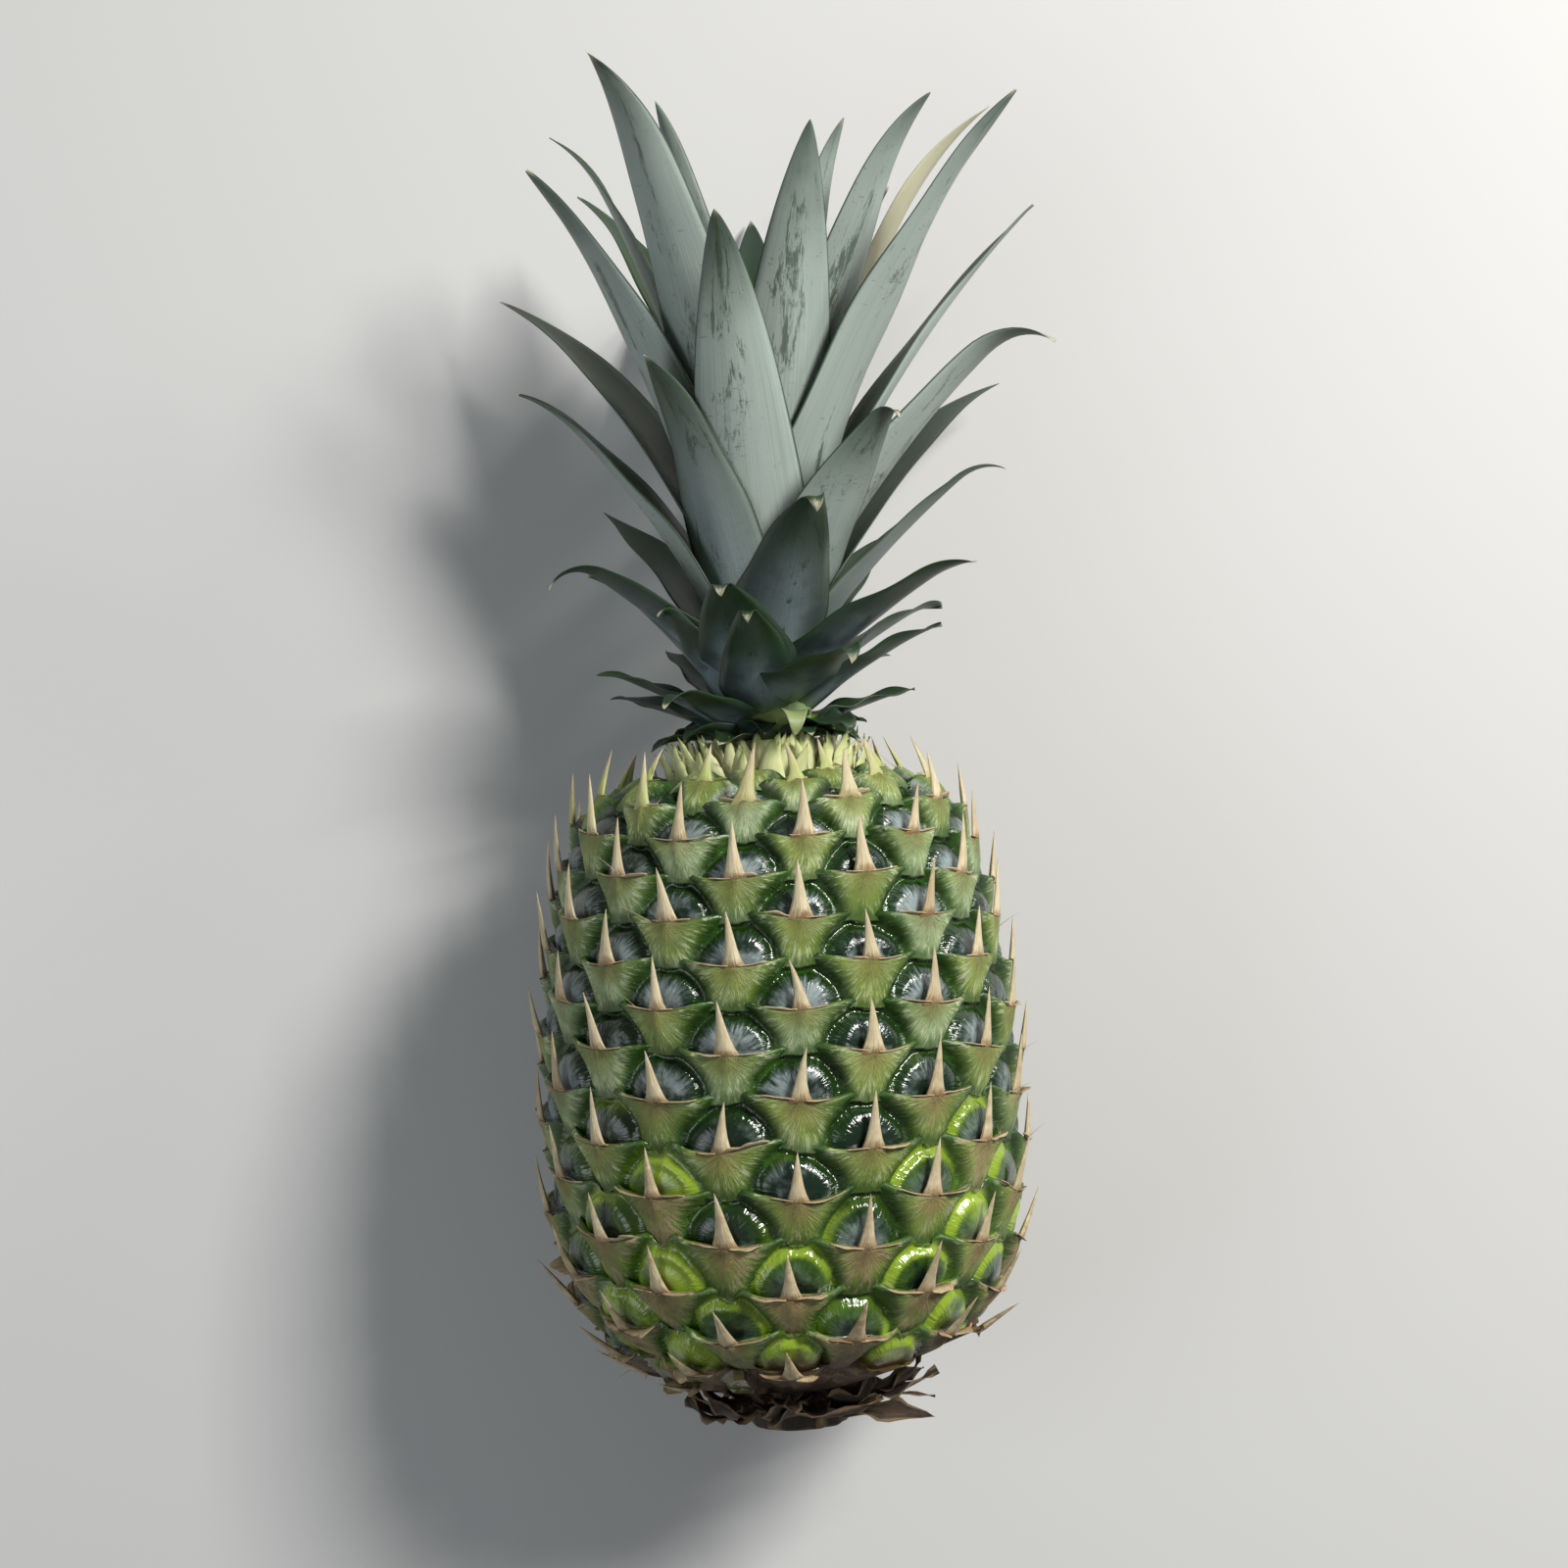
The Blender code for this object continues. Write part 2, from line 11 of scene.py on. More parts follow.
import bpy
import numpy as np
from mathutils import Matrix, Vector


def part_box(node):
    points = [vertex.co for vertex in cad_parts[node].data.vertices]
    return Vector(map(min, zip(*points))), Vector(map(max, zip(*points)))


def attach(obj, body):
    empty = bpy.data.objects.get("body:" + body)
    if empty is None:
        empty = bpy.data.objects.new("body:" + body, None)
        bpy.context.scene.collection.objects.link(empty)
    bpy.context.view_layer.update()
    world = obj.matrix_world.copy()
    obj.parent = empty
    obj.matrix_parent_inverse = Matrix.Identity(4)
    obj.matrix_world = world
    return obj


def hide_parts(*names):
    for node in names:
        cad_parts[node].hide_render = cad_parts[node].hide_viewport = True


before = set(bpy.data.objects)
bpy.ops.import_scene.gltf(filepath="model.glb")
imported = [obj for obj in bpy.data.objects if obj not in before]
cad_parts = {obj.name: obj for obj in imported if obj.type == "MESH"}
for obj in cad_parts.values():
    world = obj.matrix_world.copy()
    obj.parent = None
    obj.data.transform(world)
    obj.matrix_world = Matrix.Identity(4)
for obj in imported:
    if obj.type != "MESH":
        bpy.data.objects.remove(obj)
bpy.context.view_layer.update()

bl_info = {
    "name": "Pineapple Looks",
    "version": (1, 0, 0),
    "blender": (4, 5, 0),
    "location": "3D View > Sidebar > Pineapple",
    "description": "Builds the visible surfaces of a whole pineapple round its solids",
    "category": "Add Mesh",
}

UP_AXIS = np.array([0.0, 1.0, 0.0])

# Fruit outline, as in the solids
GIRTH_RADIUS = 0.0596
TOP_LENGTH = 0.078
TOP_TAPER = 0.15
TOP_TAPER_LENGTH = 0.060
TOP_SHOULDER_POWER = 18
WIDEST_Y = -0.006
FOOT_LENGTH = 0.072
FOOT_POWER = 2.9
FOOT_ROUNDNESS = 3
OUTLINE_SAMPLES = 4001
SLOPE_STEP = 0.0008

# Spiral of eyes, as in the solids
TURN_PER_EYE = math.radians(137.2226)
FIRST_ANGLE = math.radians(-10.4)
EYE_ZERO_ARC = 0.0318
RISE_PER_EYE = 0.000982
RISE_BOW = -0.0000010776
LEAN = 0.00715
LEAN_FADE_FROM = 47
LEAN_FADE_EYES = 30
LOWEST_EYE = -100
HIGHEST_EYE = 62
SHALLOW_FAMILY = 8
SHALLOW_TURNS = 3
STEEP_FAMILY = 13
STEEP_TURNS = 5
ROUND_ACROSS = STEEP_FAMILY + SHALLOW_FAMILY
ROUND_ALONG = STEEP_FAMILY - SHALLOW_FAMILY

# Relief of an eye, whose own coordinates run from -1 to 1 across and along its diamond
VALLEY_DEPTH = 0.0036
LIP_HEIGHT = 0.0041
FULL_RELIEF_RADIUS = 0.045
BRACT_DROP = 0.70
BRACT_DROP_POWER = 1.5
DOME_HEIGHT = 0.0027
DOME_HALF_WIDTH = 0.575
DOME_HALF_HEIGHT = 0.77
DOME_CENTRE = 0.12
DOME_SHARPNESS = 3.2
DOME_DIP = 0.30
DOME_DIP_LENGTH = 0.25
VALLEY_EDGE = 1.09
VALLEY_EDGE_LIME = 0.12
BRACT_RISE = 0.38
GROOVE_DEPTH = 0.0004
GROOVE_PLACE = 1.10
GROOVE_WIDTH = 0.08
BEAD_HEIGHT = 0.0023
BEAD_PLACE = 1.00
BEAD_WIDTH = 0.20
LIME_SWELL = 0.0006
RIB_HEIGHT = 0.0007
RIB_WIDTH = 0.10
LIP_FLARE = 0.0005
WING_FLARE = 2.2
LIP_ROUNDING = 0.0006
LIP_OVERHANG = 0.075
LIP_FADE = 0.05
WING_RISE = 0.34
WING_FADE = 0.12
WING_FROM = 0.78
WING_TO = 0.93
NET_FRACTIONS = (0, 0.02, 0.05, 0.10, 0.165, 0.24, 0.325, 0.4125, 0.5,
                 0.5875, 0.675, 0.76, 0.835, 0.90, 0.95, 0.98)
SKEW = 0.0006
SKEW_WAVELENGTH = 0.024
UNEVENNESS = 0.00022
UNEVEN_WAVELENGTH = 0.009
DRY_CRUMPLE = 0.0006
CRUMPLE_WAVELENGTH = 0.0055
RIPPLE_WAVES = 14

# Ripeness of the eyes: the low ones are swollen and lime green, with dry bracts
FACT_MARGIN = 40
EYE_SEED = 5
LIME_FROM = -34
LIME_EYES = 50
DRY_FROM = -18
DRY_EYES = 60

# Eyes that differ from their rows: number against the bead's bearing as a share of a turn,
# how lime green the eye is, and how dry its bract is
OWN_EYES = {
    -29: (0.2, 0.0, 0.35),
    -34: (0.4, 0.05, 0.30),
    -37: (0.1, 0.25, 0.15),
    -39: (0.3, 0.15, 0.60),
    -42: (0.1, 0.0, 0.30),
    -45: (0.6, 0.5, 0.45),
    -47: (0.3, 0.15, 0.35),
    -50: (0.05, 1.0, 0.80),
    -52: (0.4, 0.4, 0.70),
    -55: (0.2, 0.1, 0.55),
    -58: (0.45, 0.7, 0.75),
    -60: (0.35, 0.5, 0.50),
    -63: (0.05, 0.3, 0.70),
    -65: (0.5, 0.6, 0.60),
    -68: (0.45, 0.35, 0.75),
    -71: (0.10, 1.0, 0.85),
    -73: (0.40, 0.72, 0.60),
    -76: (0.30, 0.5, 0.80),
    -81: (0.32, 0.65, 0.75),
    -84: (0.20, 0.5, 0.55),
}

# Spines: share of the length against shares of the half width and the depth, and sunken depth
SPINE_LENGTH = 0.0142
SPINE_TILT = math.radians(11)
SPINE_UPRIGHT = 0.55
SPINE_SPREAD = 0.1
SPINE_SHRINK_POWER = 0.7
SPINE_CEILING = 0.0835
SHORTEST_SPINE = 0.004
SPINE_HALF_WIDTH = 0.0027
SPINE_DEPTH = 0.0009
SPINE_SIDES = 10
SPINE_SEED = 3
FRESH_FROM = 30
FRESH_TO = 54
SPINE_STATIONS = (
    (-0.14, 0.55, 0.30, 0.0016),
    (-0.07, 1.10, 0.45, 0.0007),
    (-0.01, 1.32, 0.60, 0.0002),
    (0.06, 1.05, 0.80, 0.0),
    (0.16, 0.84, 0.90, 0.0),
    (0.32, 0.62, 0.80, 0.0),
    (0.54, 0.42, 0.58, 0.0),
    (0.78, 0.23, 0.34, 0.0),
    (1.0, 0.02, 0.04, 0.0),
)

# Papery edges of the lips, a few of them torn and longer
PAPER_STATIONS = 13
PAPER_THICKNESS = 0.00022
TORN_SHARE = 0.10
TORN_GROWTH = 2.3

# Floor under the fruit and seats at its two ends
PRESSED_DEPTH = 0.0021
AXIS_HEIGHT = GIRTH_RADIUS - VALLEY_DEPTH + LIP_HEIGHT - PRESSED_DEPTH
NECK_SEAT_Y = 0.0745
NECK_SEAT_RADIUS = 0.019
FOOT_SEAT_Y = -0.0765
FOOT_SEAT_RADIUS = 0.017
SEAT_LEVELS = (0.3, 0.65, 1.0)
GAP = 0.0003

# Blades
ARCH_SPREAD = 0.30
FULL_WIDTH_STEP = 0.3
TIP_FULLNESS = 0.8
CHANNEL_POWER = 1.7
EDGE_SHARE = 0.35

# Neck, and whiskers there and along the lips
NECK_RADIUS = 0.0155
NECK_TOP_Y = 0.0838
NECK_ROWS = 5
NECK_ROW_BRACTS = 19
NECK_FIRST_ROOT = 0.0240
NECK_FIRST_TIP = 0.0262
NECK_TIP_Y = 0.0836
NECK_ROW_INWARDS = 0.0021
NECK_ROW_RISE = 0.0007
NECK_SEED = 21
NECK_FIBRES = 60
SIDE_FIBRES = 40
FIBRE_RADIUS = 0.00016
FIBRE_SEED = 41

# Crown, as in the solids
CROWN_FOOT_Y = NECK_TOP_Y + GAP
CROWN_LEAN = math.radians(3)
CROWN_LEAVES = 54
CROWN_TURN = math.radians(-137.508)
FRONT_LEAF = 22
FRONT_LEAF_ANGLE = math.radians(8)
CORE_FOOT_RADIUS = 0.0130
CORE_TOP_RADIUS = 0.0045
CORE_LENGTH = 0.060
ROOT_SINK = 0.0025
LEAF_FIRST_Y = 0.0012
LEAF_LAST_Y = 0.0540
LEAF_CROWDING = 1.6
LEAF_THICKNESS = 0.0010
LEAF_STATIONS = 40
LEAF_POINTS_ACROSS = 11
LEAF_ROOT_SHARE = 0.38
SWAY = 3
OUTER_LIFT = 0.42
INNER_LIFT = 0.60
ROOT_CHANNEL = 0.42
TIP_CHANNEL = 0.20
CROWN_SEED = 7
FLOOR_CLEARANCE = 0.003

# Leaf number against tip height over the crown's foot, reach from its axis, and width
TIP_HEIGHT = ((0, 0.005), (9, 0.024), (17, 0.036), (22, 0.056), (27, 0.085), (33, 0.132), (39, 0.166),
              (43, 0.138), (53, 0.095))
TIP_REACH = ((0, 0.036), (9, 0.043), (17, 0.050), (22, 0.054), (27, 0.060), (33, 0.064), (39, 0.066),
             (43, 0.040), (53, 0.012))
LEAF_WIDTH = ((0, 0.015), (9, 0.021), (17, 0.026), (25, 0.029), (33, 0.031), (42, 0.024), (53, 0.011))

# Leaves that grew out of line: number against added turn in degrees, reach and tip height
WAYWARD_LEAVES = {
    2: (0, 0.046, 0.014),
    6: (0, 0.031, 0.003),
    9: (0, 0.043, 0.031),
    12: (0, 0.029, 0.033),
    14: (0, 0.050, 0.021),
    15: (0, 0.047, 0.046),
    17: (10, 0.048, 0.037),
    19: (0, 0.059, 0.043),
    22: (4, 0.052, 0.057),
    25: (0, 0.037, 0.096),
    27: (0, 0.046, 0.078),
    29: (0, 0.074, 0.094),
    30: (-1, 0.052, 0.126),
    32: (0, 0.068, 0.101),
    33: (0, 0.061, 0.142),
    35: (-6, 0.050, 0.146),
    36: (0, 0.074, 0.120),
    37: (0, 0.071, 0.133),
    38: (0, 0.070, 0.166),
    39: (-7, 0.066, 0.139),
    40: (0, 0.074, 0.152),
    41: (0, 0.050, 0.155),
    43: (46, 0.050, 0.156),
    44: (18, 0.052, 0.146),
    45: (-6, 0.052, 0.157),
    46: (0, 0.033, 0.157),
    48: (6, 0.028, 0.151),
}

# Leaves that have curled over: number against the curl in degrees and the step where it starts
CURLED_LEAVES = {
    1: (150, 0.76),
    4: (70, 0.75),
    6: (150, 0.86),
    9: (165, 0.92),
    12: (100, 0.90),
    14: (140, 0.90),
    17: (160, 0.93),
    20: (95, 0.80),
    22: (172, 0.925),
    24: (60, 0.86),
    27: (125, 0.92),
    32: (75, 0.82),
}
FOLD_GROWTH = 0.05
TAN_LEAF = 45
FRESH_LEAF = 1
USUAL_CURL = (2, 30)
CURL_FROM = (0.70, 0.88)
LEAF_TWIST = 0.16
LEAF_RUFFLE = (0.0001, 0.0008)

# Small leaves that droop over the neck, where a pair of numbers is a range to draw from
FOOT_LEAVES = 15
FOOT_LEAF_REACH = (0.020, 0.029)
FOOT_LEAF_HEIGHT = (0.0000, 0.0060)
FOOT_LEAF_WIDTH = (0.011, 0.015)
FOOT_LEAF_TOP_Y = 0.0015
FOOT_LEAF_SEED = 17

# Stalk
STALK_RADIUS = 0.0125
STALK_END_RADIUS = 0.0115
STALK_COLLAR_RADIUS = 0.0140
STALK_COLLAR_HEIGHT = 0.0040
STALK_END_Y = -0.0870
STALK_SEED = 11
DRIED_BRACTS = 26
DRIED_REACH = (0.026, 0.040)
DRIED_DROP = (0.0010, 0.0075)
DRIED_WIDTH = (0.009, 0.015)

# Where the fruit's axis and middle are, from the solids
AXIS_X = (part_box("neck_bracts")[0].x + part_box("neck_bracts")[1].x) / 2
MIDDLE_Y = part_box("stalk")[0].y - STALK_END_Y
FRUIT_MIDDLE = np.array([AXIS_X, MIDDLE_Y, AXIS_HEIGHT])

# Sockets of Blender's Mix node for colours
MIX_FACTOR = 0
MIX_FIRST = 6
MIX_SECOND = 7
MIX_RESULT = 2


class Number:
    """A socket that carries a number, so that maths on it is written as a plain expression."""

    def __init__(self, paint, socket):
        self.paint = paint
        self.socket = socket

    def __add__(self, other):
        return self.paint.math("ADD", self, other)

    __radd__ = __add__

    def __sub__(self, other):
        return self.paint.math("SUBTRACT", self, other)

    def __rsub__(self, other):
        return self.paint.math("SUBTRACT", other, self)

    def __mul__(self, other):
        return self.paint.math("MULTIPLY", self, other)

    __rmul__ = __mul__

    def __truediv__(self, other):
        return self.paint.math("DIVIDE", self, other)

    def __pow__(self, other):
        return self.paint.math("POWER", self, other)

    def __abs__(self):
        return self.paint.math("ABSOLUTE", self)


class Paint:
    """One material: its nodes are added by plain calls, and end in its Principled shader."""

    def __init__(self, name):
        self.material = bpy.data.materials.new(name)
        self.material.use_nodes = True
        self.tree = self.material.node_tree
        self.shader = next(node for node in self.tree.nodes if node.type == "BSDF_PRINCIPLED")

    def feed(self, socket, value):
        """Link a socket to a value, or set it where the value is a plain number or colour."""
        if isinstance(value, Number):
            value = value.socket
        if isinstance(value, bpy.types.NodeSocket):
            self.tree.links.new(value, socket)
        elif socket.type == "RGBA" and len(value) == 3:
            socket.default_value = (*value, 1)
        else:
            socket.default_value = value

    def node(self, kind, settings=None, sockets=None):
        made = self.tree.nodes.new(kind)
        for name, value in (settings or {}).items():
            setattr(made, name, value)
        for place, value in (sockets or {}).items():
            self.feed(made.inputs[place], value)
        return made

    def math(self, operation, *values):
        made = self.node("ShaderNodeMath", {"operation": operation}, dict(enumerate(values)))
        return Number(self, made.outputs[0])

    def smooth(self, value, start, end):
        """0 up to start and 1 from end, with a smooth step between; end may be the smaller."""
        made = self.node("ShaderNodeMapRange", {"interpolation_type": "SMOOTHSTEP"},
                         {0: value, 1: start, 2: end})
        return Number(self, made.outputs[0])

    def mix(self, share, first, second):
        """Colour that is first at share 0 and second at share 1."""
        made = self.node("ShaderNodeMix", {"data_type": "RGBA"},
                         {MIX_FACTOR: share, MIX_FIRST: first, MIX_SECOND: second})
        return made.outputs[MIX_RESULT]

    def vector(self, x, y, z):
        return self.node("ShaderNodeCombineXYZ", None, {0: x, 1: y, 2: z}).outputs[0]

    def stretch(self, place, scale):
        made = self.node("ShaderNodeVectorMath", {"operation": "MULTIPLY"}, {0: place, 1: scale})
        return made.outputs[0]

    def noise(self, place, scale, detail=3.0, roughness=0.55, distortion=0.0):
        made = self.node("ShaderNodeTexNoise", None, {
            "Vector": place, "Scale": scale, "Detail": detail, "Roughness": roughness,
            "Distortion": distortion})
        return Number(self, made.outputs[0])

    def cells(self, place, scale):
        """Distance to the nearest of scattered points."""
        made = self.node("ShaderNodeTexVoronoi", None, {"Vector": place, "Scale": scale})
        return Number(self, made.outputs["Distance"])

    def object_place(self):
        return self.node("ShaderNodeTexCoord").outputs["Object"]

    def split(self, place):
        parts = self.node("ShaderNodeSeparateXYZ", None, {0: place})
        return [Number(self, socket) for socket in parts.outputs]

    def map_values(self, name):
        """The two coordinates of a piece's own UV map."""
        return self.split(self.node("ShaderNodeUVMap", {"uv_map": name}).outputs[0])[:2]

    def facts(self, name):
        """The four values of a piece's own colour attribute."""
        made = self.node("ShaderNodeAttribute", {"attribute_name": name})
        parts = self.node("ShaderNodeSeparateColor", None, {0: made.outputs["Color"]})
        values = [Number(self, socket) for socket in parts.outputs]
        return (*values, Number(self, made.outputs["Alpha"]))

    def bump(self, height, distance, strength=1.0, under=None):
        sockets = {"Height": height, "Distance": distance, "Strength": strength}
        if under is not None:
            sockets["Normal"] = under
        return self.node("ShaderNodeBump", None, sockets).outputs[0]

    def finish(self, **sockets):
        """Feed the shader, whose socket names are given with _ for each space."""
        for name, value in sockets.items():
            self.feed(self.shader.inputs[name.replace("_", " ")], value)
        return self.material


def outline_radius(y):
    """Radius of the fruit at y: a barrel that tapers by a square, with a shoulder and a round foot."""
    above = np.clip(y, 0, TOP_LENGTH)
    taper = 1 - TOP_TAPER * (above / TOP_TAPER_LENGTH) ** 2
    shoulder = np.sqrt(np.clip(1 - (above / TOP_LENGTH) ** TOP_SHOULDER_POWER, 0, 1))
    below = np.clip((WIDEST_Y - y) / FOOT_LENGTH, 0, 1)
    foot = (1 - below ** FOOT_POWER) ** (1 / FOOT_ROUNDNESS)
    return GIRTH_RADIUS * taper * shoulder * foot


OUTLINE_Y = np.linspace(WIDEST_Y - FOOT_LENGTH, TOP_LENGTH, OUTLINE_SAMPLES)
OUTLINE_R = outline_radius(OUTLINE_Y)
OUTLINE_ARC = np.concatenate([[0], np.cumsum(np.hypot(np.diff(OUTLINE_Y), np.diff(OUTLINE_R)))])
OUTLINE_ARC -= np.interp(0, OUTLINE_Y, OUTLINE_ARC)


def smooth_step(value, start, end):
    """0 up to start and 1 from end, rising as 3t^2 - 2t^3 between."""
    share = np.clip((value - start) / (end - start), 0, 1)
    return share * share * (3 - 2 * share)


def ripple(points, wavelength, seed):
    """Smooth random field, mostly within -1 and 1: plane waves in random directions, summed."""
    draw = np.random.default_rng(seed)
    ways = draw.normal(size=(RIPPLE_WAVES, 3))
    ways /= np.linalg.norm(ways, axis=1)[:, None]
    ways *= math.tau / (wavelength * draw.uniform(0.7, 1.5, RIPPLE_WAVES))[:, None]
    phases = draw.uniform(0, math.tau, RIPPLE_WAVES)
    return np.sin(points @ ways.T + phases).sum(-1) * math.sqrt(1 / RIPPLE_WAVES)


def outline_frame(arc, angle):
    """Point on the outline turned round the axis, with its outward normal and upward tangent."""
    y = np.interp(arc, OUTLINE_ARC, OUTLINE_Y)
    radius = np.interp(arc, OUTLINE_ARC, OUTLINE_R)
    after = arc + SLOPE_STEP
    before = arc - SLOPE_STEP
    slope_y = np.interp(after, OUTLINE_ARC, OUTLINE_Y) - np.interp(before, OUTLINE_ARC, OUTLINE_Y)
    slope_r = np.interp(after, OUTLINE_ARC, OUTLINE_R) - np.interp(before, OUTLINE_ARC, OUTLINE_R)
    size = np.hypot(slope_y, slope_r)
    slope_y = slope_y / size
    slope_r = slope_r / size
    across = np.sin(angle)
    up = np.cos(angle)
    point = np.stack([radius * across, y, radius * up], -1)
    normal = np.stack([slope_y * across, -slope_r, slope_y * up], -1)
    tangent = np.stack([slope_r * across, slope_y, slope_r * up], -1)
    return point, normal, tangent


def rind_frame(across, along):
    """Frame of the outline at net coordinates, where every other whole crossing is an eye.

    The two coordinates are the difference and the sum of the steps along the two families of
    spirals. The angle is linear in them, the distance along the outline is a bowed line plus
    a sine of the angle, and both are skewed a little by a smooth random field.
    """
    shallow = (along + across) / 2
    steep = (along - across) / 2
    number = SHALLOW_FAMILY * shallow + STEEP_FAMILY * steep
    angle = (FIRST_ANGLE + (SHALLOW_FAMILY * TURN_PER_EYE - SHALLOW_TURNS * math.tau) * shallow
             + (STEEP_FAMILY * TURN_PER_EYE - STEEP_TURNS * math.tau) * steep)
    lean = LEAN * (1 - np.clip((number - LEAN_FADE_FROM) / LEAN_FADE_EYES, 0, 1))
    arc = EYE_ZERO_ARC + RISE_PER_EYE * number + RISE_BOW * number ** 2 + lean * np.sin(angle)
    point, _, _ = outline_frame(arc, angle)
    arc = arc + SKEW * ripple(point, SKEW_WAVELENGTH, 1)
    angle = angle + SKEW * ripple(point, SKEW_WAVELENGTH, 2) / GIRTH_RADIUS
    point, normal, tangent = outline_frame(arc, angle)
    size = np.clip(np.hypot(point[..., 0], point[..., 2]) / FULL_RELIEF_RADIUS, 0, 1)
    return point, normal, tangent, size


def eye_facts():
    """For each eye from the foot up: a random share, how lime green it is, and how dry its bract is."""
    numbers = np.arange(LOWEST_EYE - FACT_MARGIN, HIGHEST_EYE + FACT_MARGIN + 1)
    draw = np.random.default_rng(EYE_SEED)
    chance = draw.uniform(size=numbers.size)
    low = np.clip((LIME_FROM - numbers) / LIME_EYES, 0, 1)
    lime = np.clip(1.3 * low - draw.uniform(0, 0.8, numbers.size), 0, 0.95)
    dry = np.clip((DRY_FROM - numbers) / DRY_EYES + draw.uniform(-0.2, 0.25, numbers.size), 0, 1)
    for number, (bearing, own_lime, own_dry) in OWN_EYES.items():
        row = number - LOWEST_EYE + FACT_MARGIN
        chance[row], lime[row], dry[row] = bearing, own_lime, own_dry
    return np.stack([chance, lime, dry, np.zeros(numbers.size)], -1)


EYE_FACTS = eye_facts()


def facts_of(shallow, steep):
    """Facts of the eye at whole steps along the two families."""
    number = SHALLOW_FAMILY * shallow + STEEP_FAMILY * steep
    row = np.clip(number - LOWEST_EYE + FACT_MARGIN, 0, len(EYE_FACTS) - 1)
    return EYE_FACTS[row.astype(int)]


def dome_distance(across, along):
    """0 at the middle of an eye's dome and 1 on its rim, as the radius of an ellipse."""
    return np.hypot(across / DOME_HALF_WIDTH, (along - DOME_CENTRE) / DOME_HALF_HEIGHT)


def near_dome(across, along):
    """Coordinates about the eye whose dome is nearest: below the lip, one of the row below."""
    side = np.where(across > 0, across - 1, across + 1)
    return np.where(along > 0, across, side), np.where(along > 0, along, along + 1)


def eye_height(across, along, facts):
    """Height over the valley at a point of an eye's diamond, from the facts of the nearest dome.

    A dome is the root of one less a power of the distance from its middle. All else is bract,
    which rises from the valley round the domes, and falls by a power of the way from its lip
    to its far end. The lip is where a bract stands over the dome above it. A groove follows a
    dome's rim, and on lime green eyes a bead does, as Gauss curves of the distance.
    """
    side, over = near_dome(across, along)
    distance = dome_distance(side, over)
    lime = facts[..., 1]
    cap = np.sqrt(np.clip(1 - distance ** DOME_SHARPNESS, 0, 1))
    dip = 1 - DOME_DIP * np.exp(-(over / DOME_DIP_LENGTH) ** 2)
    height = (DOME_HEIGHT + LIME_SWELL * lime) * cap * dip
    bearing = np.arctan2(over - DOME_CENTRE, side)
    part = 0.05 + 0.95 * smooth_step(np.cos(bearing - math.tau * facts[..., 0]), -0.2, 0.7)
    height += BEAD_HEIGHT * lime * part * np.exp(-((distance - BEAD_PLACE) / BEAD_WIDTH) ** 2)
    height -= GROOVE_DEPTH * (1 - lime) * np.exp(-((distance - GROOVE_PLACE) / GROOVE_WIDTH) ** 2)
    upper = along > 0
    from_lip = np.where(upper, 1 - along, -along)
    from_middle = np.where(upper, 1 - np.abs(across), np.abs(across))
    clear = np.clip((distance - VALLEY_EDGE) / BRACT_RISE, 0, 1)
    bract = LIP_HEIGHT * (1 - BRACT_DROP * from_lip ** BRACT_DROP_POWER) * clear * (2 - clear)
    bract += RIB_HEIGHT * np.exp(-(from_middle / RIB_WIDTH) ** 2) * clear * (1 - from_lip)
    wing = 1 - smooth_step(np.abs(across), WING_FROM, WING_TO)
    flare = LIP_FLARE * (1 + WING_FLARE * across ** 2)
    edge = wing * (flare * np.exp(-np.abs(along) / LIP_FADE) - (LIP_ROUNDING + flare) * (along == 0))
    return height + bract + np.where(upper, 0, edge)


def lip_shift(across, along):
    """How far the lip hangs over the dome, in net coordinates: it dies away below the lip."""
    wing = 1 - smooth_step(np.abs(across), WING_FROM, WING_TO)
    hang = LIP_OVERHANG * wing * np.exp(along / LIP_FADE)
    rise = WING_RISE * across ** 2 * wing * np.exp(along / WING_FADE)
    return np.where(along <= 0, hang + rise, 0)


def nearest_eye(across, along):
    """Whole steps along the two families to the eye in whose diamond a point lies."""
    shallow = np.floor((along + across) / 2 + 0.5)
    steep = np.floor((along - across) / 2 + 0.5)
    return shallow, steep


def dome_facts(shallow, steep, sideways, upwards):
    """Facts of the eye whose dome is nearest to points of the given eyes' diamonds."""
    below = upwards <= 0
    right = sideways > 0
    return facts_of(shallow - (below & ~right), steep - (below & right))


def rind_points(across, along):
    """Places of points of the rind at net coordinates, before the floor presses them flat."""
    shallow, steep = nearest_eye(across, along)
    sideways = across - (shallow - steep)
    upwards = along - (shallow + steep)
    own = facts_of(shallow, steep)
    height = eye_height(sideways, upwards, dome_facts(shallow, steep, sideways, upwards))
    place, normal, _, size = rind_frame(across, along + lip_shift(sideways, upwards))
    height += UNEVENNESS * ripple(place, UNEVEN_WAVELENGTH, 3)
    lip = np.where(upwards <= 0, np.exp(upwards / 0.25), 0)
    height += DRY_CRUMPLE * own[..., 2] * lip * ripple(place, CRUMPLE_WAVELENGTH, 4)
    return place + normal * ((height - VALLEY_DEPTH) * size)[..., None]


def outward(points, faces):
    """The faces, turned round if they enclose a negative volume."""
    corners = points[faces]
    volume = np.einsum("ij,ij->", corners[:, 0], np.cross(corners[:, 1], corners[:, 2]))
    return faces if volume > 0 else faces[:, ::-1]


